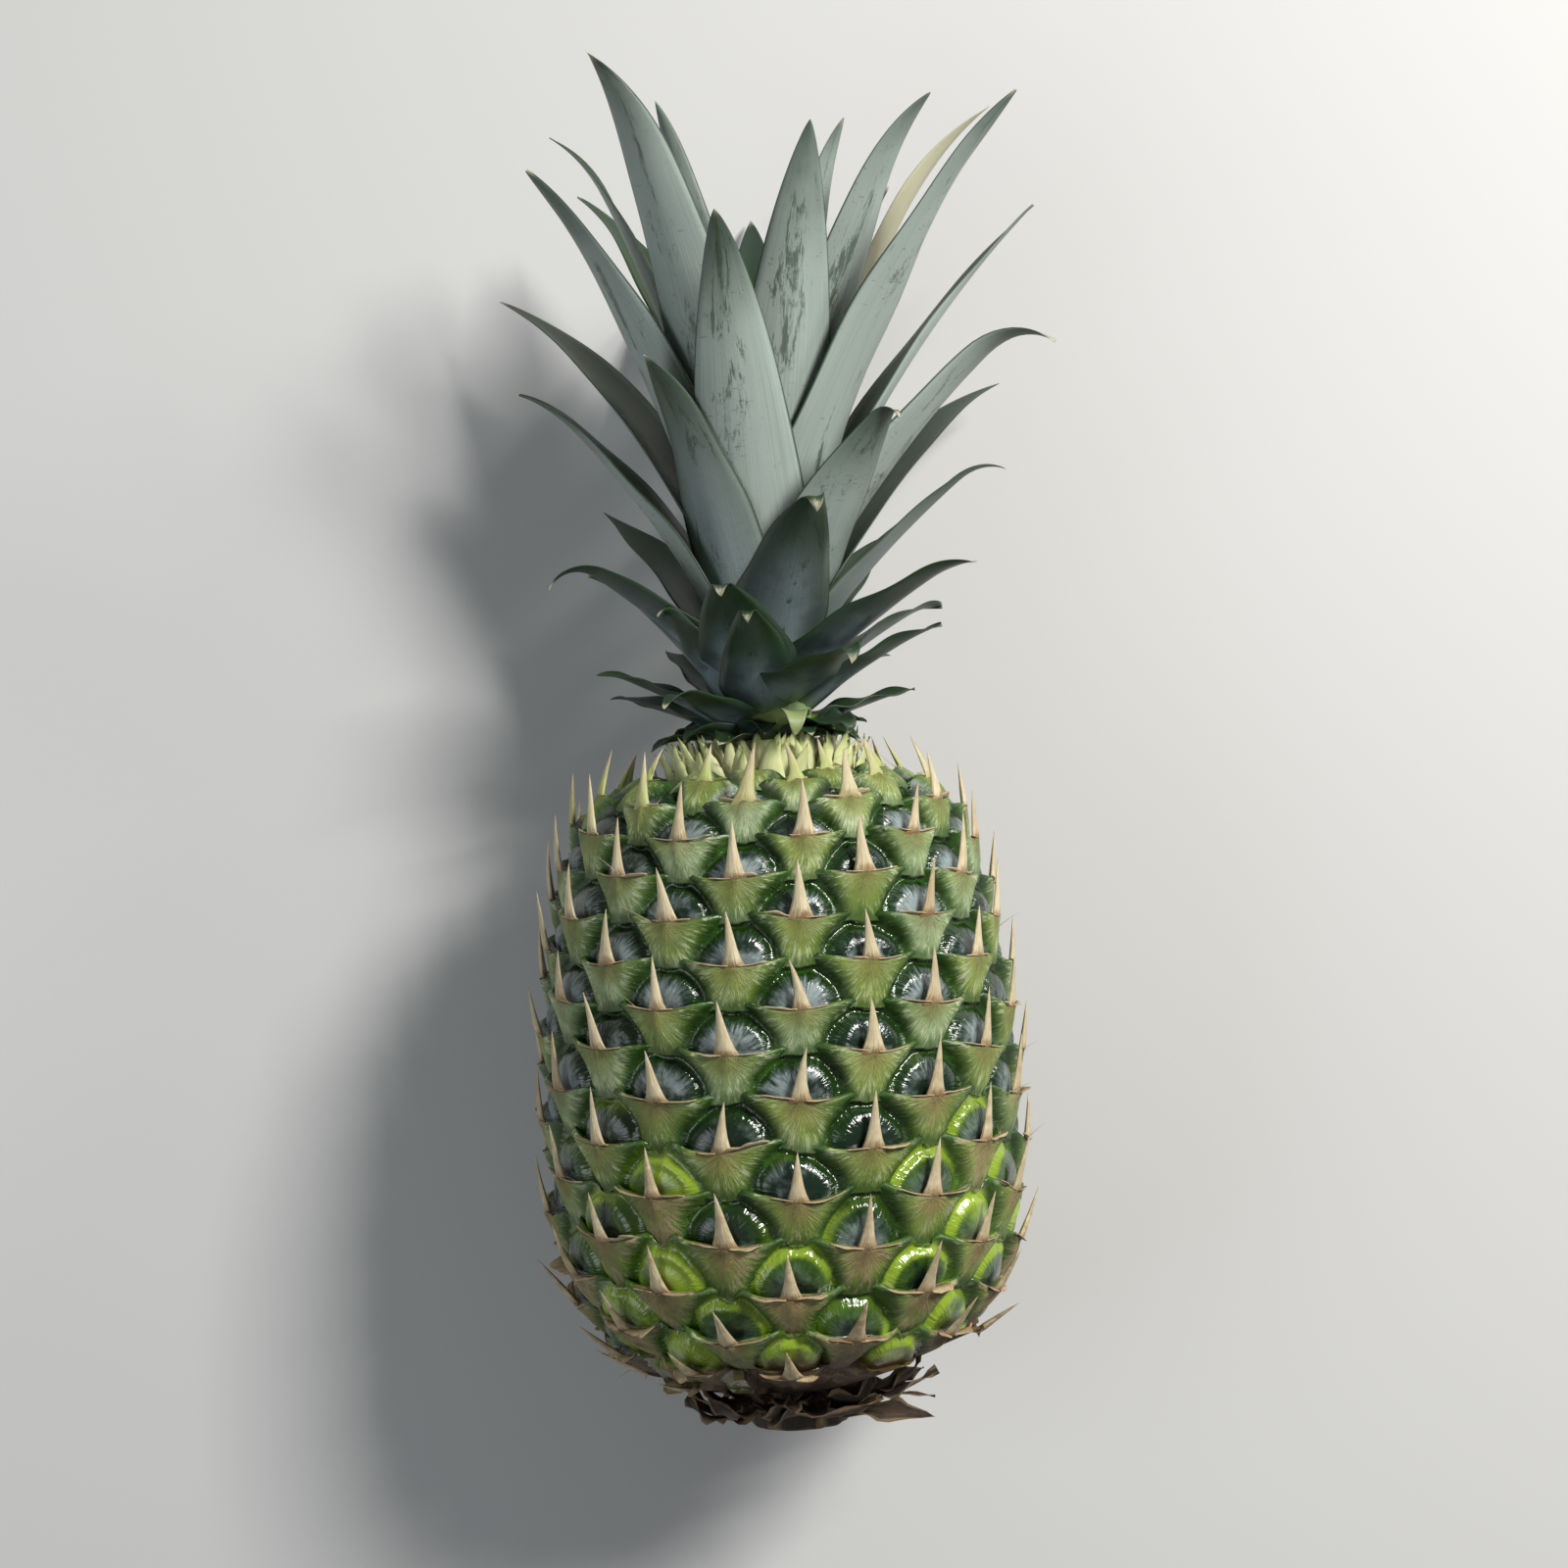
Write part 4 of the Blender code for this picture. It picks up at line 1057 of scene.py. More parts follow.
def leaf_material(tints):
    """Crown leaf: scurfy silver back rubbed green, dark inner face, thin dark edge and dry tip, with a painted
    sheen in the middle of the short leaves and painted shade towards their edges and tips.
    """
    paint = Paint("crown_leaf_skin")
    across, along = paint.map_values("blade")
    chance, share, tip_from, face = paint.facts("blade_facts")
    place = paint.object_place()
    off_middle = abs(across)
    veins = paint.noise(paint.vector(across * 14.0, along * 0.9, chance * 60), 3.2, 3.0, 0.6)
    hairlines = paint.noise(paint.vector(across * 46.0, along * 1.3, chance * 60), 3.2, 2.0, 0.5)
    cloud = paint.noise(place, 38.0, 4.0, 0.6)
    speckle = paint.noise(place, 850.0, 2.0)

    silvered = paint.smooth(share + (cloud - 0.5) * 0.10, 0.34, 0.58)
    back = paint.mix(silvered, tints.slate, tints.silver)
    # Painted sheen: the backs of the short leaves are made lighter and bluer in their middle and lower part, as a
    # soft reflection of the light
    painted_sheen_patch = paint.smooth(cloud + (0.50 - along) * 0.45 - off_middle * 0.30, 0.26, 0.56) * (1 - silvered)
    back = paint.mix(painted_sheen_patch * 0.85, back, tints.sheen)
    rub_place = paint.vector(across * 0.9, along * 2.6 + chance * 9, chance * 60)
    rub_noise = paint.noise(rub_place, 1.7, 6.0, 0.72, 0.8)
    scuffs = paint.noise(paint.vector(across * 9.0, along * 26.0, chance * 30), 2.6, 3.0, 0.6)
    rubbed = paint.smooth(rub_noise + (hairlines - 0.5) * 0.22 + (scuffs - 0.5) * 0.20 - off_middle * 0.10
                          + along * 0.08, 0.585, 0.66)
    back = paint.mix(rubbed * 0.72, back, tints.green)
    wrinkled = paint.noise(paint.vector(across * 1.6, along * 70.0, chance * 60), 2.2, 2.0, 0.55)
    cross_lines = paint.smooth(wrinkled, 0.36, 0.31) * paint.smooth(cloud, 0.40, 0.60)
    back = paint.mix(cross_lines * 0.40, back, tints.green)
    # Greener towards the tip: partly the leaf's own colour and partly painted shade, which starts earlier along
    # the short leaves
    tip_green_and_shade = paint.smooth(along + (veins - 0.5) * 0.22 + (cloud - 0.5) * 0.30 + (0.45 - share) * 0.45
                               + (1 - silvered) * 0.10, 0.58, 0.98)
    back = paint.mix(tip_green_and_shade * 0.85, back, tints.green)
    inner = paint.mix(paint.smooth(cloud, 0.35, 0.75) * 0.35, tints.green, tints.slate)
    skin = paint.mix(face, inner, back)
    skin = paint.mix(paint.smooth(veins, 0.60, 0.35) * 0.16, skin, tints.green)
    axil = paint.smooth(along + (speckle - 0.5) * 0.16 + (cloud - 0.5) * 0.12, 0.22, 0.04) * (1 - silvered)
    skin = paint.mix(axil * 0.8, skin, tints.axil)
    fresh = paint.smooth(share, -0.1, -0.6)
    skin = paint.mix(fresh * 0.30, paint.mix(fresh * 0.85, skin, tints.axil), tints.tip)
    # Painted shade: the outer face of the short leaves darkens towards its edges, where a curved leaf turns away
    # from the light
    painted_edge_shade = paint.smooth(off_middle + (cloud - 0.5) * 0.5, 0.40, 1.0) * (1 - silvered) * face
    skin = paint.mix(painted_edge_shade * 0.50, skin, tints.green)
    margin = paint.smooth(off_middle, 0.955, 0.99)
    skin = paint.mix(margin * 0.85, skin, tints.green)
    dried = paint.smooth(along + (veins - 0.5) * 0.08 + (hairlines - 0.5) * 0.03 - tip_from, 0.0, 0.02)
    skin = paint.mix(dried * 0.9, skin, tints.tip)

    rough = 0.36 + silvered * face * 0.18 + (cloud - 0.5) * 0.12
    height = (veins - 0.5) * 0.30 + (hairlines - 0.5) * 0.06 + (speckle - 0.5) * 0.12 - rubbed * 0.08
    normal = paint.bump(height, 0.00035, 0.7)
    return paint.finish(Base_Color=skin, Roughness=rough, Normal=normal, Specular_IOR_Level=0.5)


def neck_material(tints):
    """Neck bract: pale yellow green with fine lines, greener and dry at its tip."""
    paint = Paint("neck_bract_skin")
    across, along = paint.map_values("blade")
    chance, inwards, _, _ = paint.facts("blade_facts")
    place = paint.object_place()
    lines = paint.noise(paint.vector(across * 7.0, along * 0.8, chance * 40), 3.0, 3.0, 0.6)
    stains = paint.noise(place, 260.0, 3.0)
    skin = paint.mix(paint.smooth(along + (lines - 0.5) * 0.5, 0.50, 1.15), tints.pale, tints.tipped)
    skin = paint.mix(paint.smooth(lines, 0.55, 0.30) * 0.30, skin, tints.tipped)
    skin = paint.mix(paint.smooth(inwards, 0.45, 0.0) * 0.25, skin, tints.tipped)
    skin = paint.mix(paint.smooth(along + (stains - 0.5) * 0.2, 0.86, 1.0) * 0.7, skin, tints.stalk)
    normal = paint.bump((lines - 0.5) * 0.35 + (stains - 0.5) * 0.3, 0.0003, 0.8)
    return paint.finish(Base_Color=skin, Roughness=0.45 + (stains - 0.5) * 0.2, Normal=normal)


def husk_material(tints):
    """Dried bracts and stalk: dark, streaked along, with pale torn edges."""
    paint = Paint("dried_husk")
    across, along = paint.map_values("blade")
    chance, _, _, _ = paint.facts("blade_facts")
    place = paint.object_place()
    lines = paint.noise(paint.vector(across * 6.0, along * 1.0, chance * 40), 3.0, 4.0, 0.65)
    stains = paint.noise(place, 210.0, 4.0, 0.6)
    skin = paint.mix(paint.smooth(lines + (stains - 0.5) * 0.6, 0.40, 0.75), tints.husk, tints.stalk)
    edge = paint.smooth(abs(across) + along * 0.35 + (stains - 0.5) * 0.25, 0.95, 1.15)
    skin = paint.mix(edge * 0.5, skin, tints.torn)
    normal = paint.bump((lines - 0.5) + (stains - 0.5) * 0.6, 0.0005, 0.9)
    return paint.finish(Base_Color=skin, Roughness=0.72 + (stains - 0.5) * 0.2, Normal=normal)


def build_rind(settings):
    points, faces, places, facts = rind_net()
    inner_faces = len(faces)
    points, faces = close_end(points, faces, True, NECK_SEAT_Y, NECK_SEAT_RADIUS)
    points, faces = close_end(points, faces, False, FOOT_SEAT_Y, FOOT_SEAT_RADIUS)
    closing = len(faces) - inner_faces
    places = np.concatenate([places, np.zeros((closing, 3, 2))])
    facts = np.concatenate([facts, np.ones((closing, 3, 4))])
    turned = outward(points, faces)
    if turned is not faces:
        places = places[:, ::-1]
        facts = facts[:, ::-1]
    thing = add_mesh("rind", on_floor(points), turned)
    set_corner_values(thing, "eye", places, "eye_facts", facts)
    settle(thing, rind_material(settings), "rind", "fruit")


def shown_eyes():
    """Steps along the two families for every eye."""
    number = np.arange(LOWEST_EYE, HIGHEST_EYE + 1)
    shallow = STEEP_TURNS * number % STEEP_FAMILY
    return shallow, (number - SHALLOW_FAMILY * shallow) // STEEP_FAMILY


def spine_rings():
    """Flattened cones with a raised ridge: ellipses whose width and depth shrink along a bent line."""
    shallow, steep = shown_eyes()
    facts = facts_of(shallow, steep)
    point, normal, tangent, size = rind_frame((shallow - steep).astype(float),
                                              shallow + steep + LIP_OVERHANG * 0.4)
    root = point + normal * ((LIP_HEIGHT - VALLEY_DEPTH) * size)[:, None]
    way = tangent + normal * math.tan(SPINE_TILT)
    upright = way * (1 - SPINE_UPRIGHT) + UP_AXIS * SPINE_UPRIGHT + normal * SPINE_SPREAD
    way = np.where(point[:, 1:2] > 0, upright, way)
    draw = np.random.default_rng(SPINE_SEED)
    way = way / np.linalg.norm(way, axis=1)[:, None]
    side = np.cross(way, normal)
    side /= np.linalg.norm(side, axis=1)[:, None]
    way = way + side * draw.normal(0, 0.07, (len(way), 1)) + normal * draw.normal(0, 0.04, (len(way), 1))
    way /= np.linalg.norm(way, axis=1)[:, None]
    length = SPINE_LENGTH * size ** SPINE_SHRINK_POWER * draw.uniform(0.85, 1.08, len(way))
    room = (SPINE_CEILING - root[:, 1]) / np.maximum(way[:, 1], 0.01)
    length = np.where(way[:, 1] > 0, np.minimum(length, room), length)
    tip = root + way * length[:, None]
    kept = (tip[:, 2] > GAP - AXIS_HEIGHT) & (length > SHORTEST_SPINE)
    root, way, side, length, size = root[kept], way[kept], side[kept], length[kept], size[kept]
    front = np.cross(side, way)
    stations = np.array(SPINE_STATIONS)
    step = stations[:, 0][None, :, None]
    bow = draw.normal(0, 0.07, (len(root), 1, 1)) * np.maximum(step, 0) ** 2
    hook = draw.uniform(-0.10, 0.04, (len(root), 1, 1)) * np.maximum(step, 0) ** 2
    sunk = stations[:, 3][None, :, None] / length[:, None, None]
    line = (root[:, None] + (way[:, None] * step + side[:, None] * bow + front[:, None] * (hook - sunk))
            * length[:, None, None])
    turn = math.tau * np.arange(SPINE_SIDES) / SPINE_SIDES
    ridge = np.where(np.sin(turn) > 0, 1.0 + 0.6 * np.sin(turn) ** 6, 0.6)
    wide = SPINE_HALF_WIDTH * (size * draw.uniform(0.82, 1.1, len(root)))[:, None] * stations[:, 1]
    deep = SPINE_DEPTH * size[:, None] * stations[:, 2]
    rings = (line[:, :, None] + side[:, None, None] * (wide[..., None] * np.cos(turn))[..., None]
             + front[:, None, None] * (deep[..., None] * np.sin(turn) * ridge)[..., None])
    shown = rings.shape[:3]
    places = np.stack([np.broadcast_to(np.cos(turn), shown),
                       np.broadcast_to(np.maximum(step, 0), shown)], -1)
    values = np.zeros((*shown, 4))
    values[..., 0] = facts[kept][:, None, None, 0]
    values[..., 1] = facts[kept][:, None, None, 2]
    number = SHALLOW_FAMILY * shallow + STEEP_FAMILY * steep
    values[..., 2] = smooth_step(number[kept], FRESH_FROM, FRESH_TO)[:, None, None]
    return rings, places, values


def paper_rings(paper_height):
    """Thin upright strips along each lip, either side of its spine.

    A strip follows the lip from the spine outwards. Its height is a power of a sine of the way
    along it, broken by waves, and its top leans over the dome.
    """
    shallow, steep = shown_eyes()
    facts = facts_of(shallow, steep)
    draw = np.random.default_rng(EYE_SEED + 1)
    shallow = np.repeat(shallow, 2)
    steep = np.repeat(steep, 2)
    facts = np.repeat(facts, 2, axis=0)
    hand = np.tile([-1.0, 1.0], len(shallow) // 2)
    dry = facts[:, 2]
    steps = np.linspace(0, 1, PAPER_STATIONS)
    reach = draw.uniform(0.14, 0.50, len(hand)) + 0.16 * dry
    sideways = hand[:, None] * (0.07 + reach[:, None] * steps)
    upwards = np.full_like(sideways, -0.006)
    across = (shallow - steep)[:, None] + sideways
    along = (shallow + steep)[:, None] + upwards + lip_shift(sideways, upwards)
    point, normal, tangent, size = rind_frame(across, along)
    lift = eye_height(sideways, upwards, np.zeros((*sideways.shape, 4)))
    foot = point + normal * ((lift - VALLEY_DEPTH) * size)[..., None]
    waves = np.clip(1 + 0.5 * ripple(point, 0.0035, 8), 0.15, 2)
    torn = np.where(draw.uniform(size=len(hand)) < TORN_SHARE * (0.4 + 2 * dry), TORN_GROWTH, 1)
    tall = paper_height * ((1 + 1.1 * dry) * draw.uniform(0.6, 1.4, len(hand)) * torn)[:, None] * size
    tall = tall * np.sin(math.pi * np.clip(steps * 0.9 + 0.08, 0, 1)) ** 0.6 * waves
    lean = draw.uniform(-0.6, 0.8, (len(hand), 1, 1))
    levels = ((-0.8, 0.0), (0.4, 0.2), (0.8, 0.7), (1.0, 1.0), (1.0, 1.0), (0.8, 0.7), (0.4, 0.2), (-0.8, 0.0))
    rings = []
    for index, (up, over) in enumerate(levels):
        wall = PAPER_THICKNESS / 2 if index < 4 else -PAPER_THICKNESS / 2
        rings.append(foot + normal * (tall * up)[..., None] + tangent * (tall[..., None] * over * lean + wall))
    rings = np.stack(rings, axis=2)
    shown = rings.shape[:3]
    places = np.stack([np.broadcast_to(steps[None, :, None] * 2 - 1, shown),
                       np.broadcast_to([0.0, 0.4, 0.7, 1.0, 1.0, 0.7, 0.4, 0.0], shown)], -1)
    values = np.zeros((*shown, 4))
    values[..., 0] = facts[:, None, None, 0]
    values[..., 1] = dry[:, None, None]
    number = SHALLOW_FAMILY * shallow + STEEP_FAMILY * steep
    values[..., 2] = smooth_step(number, FRESH_FROM, FRESH_TO)[:, None, None]
    kept = foot[:, :, 2].min(axis=1) > 0.001 - AXIS_HEIGHT
    return rings[kept], places[kept], values[kept]


def crown_leaf_rings(thickness):
    """The crown's leaves on their mirrored golden-angle spiral, longer and steeper inwards."""
    draw = np.random.default_rng(CROWN_SEED)
    number = np.arange(CROWN_LEAVES)
    share = number / (CROWN_LEAVES - 1)
    foot = LEAF_FIRST_Y + (LEAF_LAST_Y - LEAF_FIRST_Y) * share ** LEAF_CROWDING
    core = CORE_FOOT_RADIUS + (CORE_TOP_RADIUS - CORE_FOOT_RADIUS) * foot / CORE_LENGTH
    reach = np.interp(number, *zip(*TIP_REACH))
    height = np.interp(number, *zip(*TIP_HEIGHT))
    turn = np.zeros(CROWN_LEAVES)
    for leaf, (added, own_reach, own_height) in WAYWARD_LEAVES.items():
        turn[leaf], reach[leaf], height[leaf] = math.radians(added), own_reach, own_height
    angle = FRONT_LEAF_ANGLE + CROWN_TURN * (number - FRONT_LEAF) + turn
    downwards = np.maximum(-np.cos(angle), 0.001)
    reach = np.minimum(reach, (AXIS_HEIGHT - FLOOR_CLEARANCE) / downwards)
    steps = np.sin(math.pi / 2 * np.linspace(0, 1, LEAF_STATIONS)) ** 1.1
    half = (np.interp(number, *zip(*LEAF_WIDTH)) / 2)[:, None] * lance_shape(steps, LEAF_ROOT_SHARE)
    channel = half * (ROOT_CHANNEL + (TIP_CHANNEL - ROOT_CHANNEL) * steps)
    curl = np.radians(draw.uniform(*USUAL_CURL, CROWN_LEAVES))
    curl_from = draw.uniform(*CURL_FROM, CROWN_LEAVES)
    tip_from = draw.uniform(0.965, 1.0, CROWN_LEAVES)
    growth = np.zeros(CROWN_LEAVES)
    for leaf, (degrees, start_step) in CURLED_LEAVES.items():
        curl[leaf], curl_from[leaf], growth[leaf] = math.radians(degrees), start_step, FOLD_GROWTH
        tip_from[leaf] = max(start_step + 0.035, 0.965)
    tip_from[TAN_LEAF] = 0
    shade = share.copy()
    shade[FRESH_LEAF] = -1
    start = np.stack([core - ROOT_SINK, foot + CROWN_FOOT_Y], -1)
    end = np.stack([reach, height + CROWN_FOOT_Y], -1)
    end = end + (end - start) * growth[:, None]
    rings, places, face = blade_rings(
        start, end, OUTER_LIFT + (INNER_LIFT - OUTER_LIFT) * share, angle, steps, half, channel, thickness,
        LEAF_POINTS_ACROSS, curl, curl_from, draw.normal(0, LEAF_TWIST, CROWN_LEAVES),
        leaf_sways(), draw.uniform(*LEAF_RUFFLE, CROWN_LEAVES))
    values = np.zeros((*rings.shape[:3], 4))
    values[..., 0] = draw.uniform(size=CROWN_LEAVES)[:, None, None]
    values[..., 1] = shade[:, None, None]
    values[..., 2] = tip_from[:, None, None]
    values[..., 3] = face
    return lean_crown(rings), places, values


def leaf_sways():
    """How far each leaf's tip turns round the axis, drawn as for the solids."""
    draw = random.Random(CROWN_SEED)
    return np.array([math.radians(SWAY) * draw.uniform(-1, 1) for _ in range(CROWN_LEAVES)])


def foot_leaf_rings(thickness):
    """Short leaves that spring from the very foot of the crown and droop over the neck."""
    draw = np.random.default_rng(FOOT_LEAF_SEED)
    count = FOOT_LEAVES
    angle = CROWN_TURN * (np.arange(count) + draw.uniform(-0.02, 0.02, count)) + 0.9
    start = np.stack([np.full(count, CORE_FOOT_RADIUS - 0.001),
                      CROWN_FOOT_Y + draw.uniform(0, FOOT_LEAF_TOP_Y, count)], -1)
    end = np.stack([draw.uniform(*FOOT_LEAF_REACH, count),
                    CROWN_FOOT_Y + draw.uniform(*FOOT_LEAF_HEIGHT, count)], -1)
    steps = np.linspace(0, 1, 16)
    half = draw.uniform(*FOOT_LEAF_WIDTH, (count, 1)) / 2 * lance_shape(steps, 0.8)
    rings, places, face = blade_rings(
        start, end, draw.uniform(0.6, 1.6, count), angle, steps, half, half * 0.35, thickness, 7,
        np.radians(draw.uniform(10, 70, count)), np.full(count, 0.6), draw.normal(0, 0.15, count),
        draw.normal(0, 0.06, count), draw.uniform(0.0001, 0.0005, count))
    values = np.zeros((*rings.shape[:3], 4))
    values[..., 0] = draw.uniform(size=count)[:, None, None]
    values[..., 2] = draw.uniform(0.93, 0.99, count)[:, None, None]
    values[..., 3] = face
    return lean_crown(rings), places, values


def turned_rings(profile, sides, roughness, seed):
    """One closed turned body from (radius, y) pairs, roughened by a smooth random field."""
    profile = np.array(profile)
    turn = math.tau * np.arange(sides) / sides
    ring = np.stack([np.sin(turn), np.zeros(sides), np.cos(turn)], -1)
    rings = profile[:, None, :1] * ring + UP_AXIS * profile[:, None, 1:]
    rings = rings + ring * (roughness * ripple(rings, 0.004, seed))[..., None]
    places = np.stack([np.broadcast_to(np.sin(turn * 3), rings.shape[:2]),
                       np.broadcast_to(np.linspace(0, 0.6, len(profile))[:, None], rings.shape[:2])], -1)
    values = np.zeros((*rings.shape[:2], 4))
    values[..., 3] = 1
    return rings[None], places[None], values[None]


def neck_bract_rings():
    """Rows of short pale bracts round the neck, each row set further in than the one below."""
    draw = np.random.default_rng(NECK_SEED)
    count = NECK_ROWS * NECK_ROW_BRACTS
    row = np.repeat(np.arange(NECK_ROWS), NECK_ROW_BRACTS)
    place = np.tile(np.arange(NECK_ROW_BRACTS), NECK_ROWS)
    angle = math.tau * (place + row * 0.382 + draw.uniform(-0.3, 0.3, count)) / NECK_ROW_BRACTS
    start = np.stack([NECK_FIRST_ROOT - NECK_ROW_INWARDS * row, NECK_SEAT_Y - 0.0030 + NECK_ROW_RISE * row], -1)
    end = np.stack([NECK_FIRST_TIP - NECK_ROW_INWARDS * row + draw.uniform(-0.0012, 0.0014, count),
                    NECK_TIP_Y + NECK_ROW_RISE * row + draw.uniform(-0.0022, 0.0018, count)], -1)
    steps = np.linspace(0, 1, 10)
    half = draw.uniform(0.0029, 0.0044, (count, 1)) * lance_shape(steps, 0.85) * (1 - 0.45 * steps)
    rings, places, face = blade_rings(
        start, end, draw.uniform(0.35, 0.6, count), angle, steps, half, half * 0.30,
        0.0006, 7, draw.uniform(-0.5, 0.5, count), np.full(count, 0.5), draw.normal(0, 0.25, count),
        draw.normal(0, 0.08, count), np.full(count, 0.00025))
    values = np.zeros((*rings.shape[:3], 4))
    values[..., 0] = draw.uniform(size=count)[:, None, None]
    values[..., 1] = (row / NECK_ROWS)[:, None, None]
    values[..., 3] = face
    return rings, places, values


def fibre_rings():
    """Thin bent whiskers that stand out round the neck, and a few along the fruit's sides."""
    draw = np.random.default_rng(FIBRE_SEED)
    angle = draw.uniform(0, math.tau, NECK_FIBRES)
    around = np.stack([np.sin(angle), np.zeros(NECK_FIBRES), np.cos(angle)], -1)
    root = around * draw.uniform(0.017, 0.021, (NECK_FIBRES, 1)) + UP_AXIS * (NECK_SEAT_Y + 0.0005)
    way = UP_AXIS + around * draw.uniform(0.1, 1.1, (NECK_FIBRES, 1)) + draw.normal(0, 0.15, (NECK_FIBRES, 3))
    bend = around * draw.uniform(-0.2, 0.6, (NECK_FIBRES, 1))
    length = draw.uniform(0.006, 0.011, NECK_FIBRES)
    eyes = draw.choice(len(shown_eyes()[0]), SIDE_FIBRES)
    shallow, steep = (family[eyes] for family in shown_eyes())
    side = draw.uniform(-0.6, 0.6, SIDE_FIBRES)
    point, normal, tangent, size = rind_frame(shallow - steep + side, shallow + steep + 0.02)
    side_root = point + normal * ((LIP_HEIGHT - VALLEY_DEPTH) * 0.6 * size)[:, None]
    side_way = tangent + normal * 0.5 + draw.normal(0, 0.4, (SIDE_FIBRES, 3))
    root = np.concatenate([root, side_root])
    way = np.concatenate([way, side_way])
    bend = np.concatenate([bend, normal * draw.uniform(-0.3, 0.8, (SIDE_FIBRES, 1))])
    length = np.concatenate([length, draw.uniform(0.003, 0.007, SIDE_FIBRES)])
    kept = root[:, 2] > 0.004 - AXIS_HEIGHT
    root, way, bend, length = root[kept], way[kept], bend[kept], length[kept]
    way /= np.linalg.norm(way, axis=1)[:, None]
    step = np.linspace(0, 1, 7)[None, :, None]
    line = root[:, None] + (way[:, None] * step + bend[:, None] * step ** 2) * length[:, None, None]
    first = np.cross(way, bend + 0.01)
    first /= np.linalg.norm(first, axis=1)[:, None]
    second = np.cross(way, first)
    turn = math.tau * np.arange(4) / 4
    ring = first[:, None] * np.cos(turn)[:, None] + second[:, None] * np.sin(turn)[:, None]
    thin = FIBRE_RADIUS * (1 - 0.85 * step)
    rings = line[:, :, None] + ring[:, None] * thin[..., None]
    places = np.stack([np.broadcast_to(np.cos(turn), rings.shape[:3]),
                       np.broadcast_to(0.3 + 0.7 * step, rings.shape[:3])], -1)
    values = np.zeros((*rings.shape[:3], 4))
    values[..., 0] = draw.uniform(size=len(rings))[:, None, None]
    return rings, places, values


def dried_bract_rings():
    """Ragged dried bracts that cup the fruit's foot, each with a torn, waved outline."""
    draw = np.random.default_rng(STALK_SEED)
    count = DRIED_BRACTS
    angle = math.tau * (np.arange(count) * 0.618 + draw.uniform(-0.03, 0.03, count))
    start = np.stack([np.full(count, STALK_RADIUS - 0.0015),
                      FOOT_SEAT_Y - draw.uniform(0.0015, 0.0065, count)], -1)
    end = np.stack([draw.uniform(*DRIED_REACH, count), FOOT_SEAT_Y - draw.uniform(*DRIED_DROP, count)], -1)
    steps = np.linspace(0, 1, 16)
    torn = 1 + 0.22 * np.sin(steps * draw.uniform(14, 30, (count, 1)) + draw.uniform(0, math.tau, (count, 1)))
    half = draw.uniform(*DRIED_WIDTH, (count, 1)) / 2 * lance_shape(steps, 0.55) * torn
    rings, places, face = blade_rings(
        start, end, draw.uniform(0.7, 1.5, count), angle, steps, half, half * draw.uniform(-0.3, 0.6, (count, 1)),
        0.0007, 9, draw.uniform(-1.6, 0.3, count), draw.uniform(0.3, 0.6, count), draw.normal(0, 0.5, count),
        draw.normal(0, 0.25, count), draw.uniform(0.0004, 0.0016, count))
    values = np.zeros((*rings.shape[:3], 4))
    values[..., 0] = draw.uniform(size=count)[:, None, None]
    values[..., 3] = face
    return rings, places, values


def build_stage(settings):
    """Plain pale floor, two soft lights and the camera, which looks straight down."""
    floor = add_mesh("floor", np.array([[-2.0, -2, 0], [2, -2, 0], [2, 2, 0], [-2, 2, 0]]) * 2,
                     np.array([[0, 1, 2], [0, 2, 3]]))
    floor.location.z = -0.0002
    paint = Paint("floor_card")
    mottle = paint.noise(paint.object_place(), 9.0, 3.0)
    floor.data.materials.append(paint.finish(Base_Color=paint.mix(mottle * 0.06, tuple(settings.floor), (0.6, 0.6, 0.6)),
                                             Roughness=0.9))
    world = bpy.data.worlds.new("soft_room")
    world.use_nodes = True
    backdrop = world.node_tree.nodes["Background"]
    backdrop.inputs["Color"].default_value = (0.90, 0.93, 0.97, 1)
    backdrop.inputs["Strength"].default_value = 0.15
    bpy.context.scene.world = world
    add_light("key", (0.80, 0.72, 1.00), 0.36, settings.key_power, (1.0, 0.98, 0.95))
    add_light("rim", (0.78, 0.56, 0.36), 0.16, settings.rim_power, (1.0, 0.99, 0.97))
    add_light("fill", (-0.75, -0.10, 0.60), 0.60, settings.fill_power, (0.88, 0.94, 1.0))
    bpy.context.scene.view_settings.view_transform = "Standard"
    add_camera()


def add_light(name, place, size, power, tint):
    """Square soft light that faces the fruit's middle from a place measured from it."""
    data = bpy.data.lights.new(name, "AREA")
    data.size = size
    data.energy = power
    data.color = tint
    light = bpy.data.objects.new(name, data)
    bpy.context.scene.collection.objects.link(light)
    light.location = FRUIT_MIDDLE + np.array(place)
    aim(light, np.array(place), (0, 1, 0))


def aim(thing, back, top):
    """Turn a light or camera so that it looks against back, with top upwards in its view."""
    from mathutils import Matrix, Vector
    back = Vector(back).normalized()
    right = Vector(top).cross(back).normalized()
    up = back.cross(right)
    thing.matrix_world = Matrix.Translation(thing.location) @ Matrix((right, up, back)).transposed().to_4x4()


def add_camera():
    """Camera above the fruit, turned a little so that the crown points up in its view."""
    data = bpy.data.cameras.new("camera")
    data.sensor_width = 36
    distance = 0.90
    data.lens = 36 * distance / 0.392
    camera = bpy.data.objects.new("camera", data)
    bpy.context.scene.collection.objects.link(camera)
    turn = CROWN_LEAN
    right = np.array([math.cos(turn), -math.sin(turn), 0])
    top = np.array([math.sin(turn), math.cos(turn), 0])
    camera.location = FRUIT_MIDDLE + right * 0.000735 + top * 0.0728 + np.array([0, 0, distance])
    aim(camera, (0, 0, 1), top)
    bpy.context.scene.camera = camera


class PINEAPPLE_OT_rind(bpy.types.Operator):
    """Build the net of eyes"""
    bl_idname = "pineapple.rind"
    bl_label = "Rind"

    def execute(self, context):
        build_rind(context.scene.pineapple_rind)
        return {"FINISHED"}


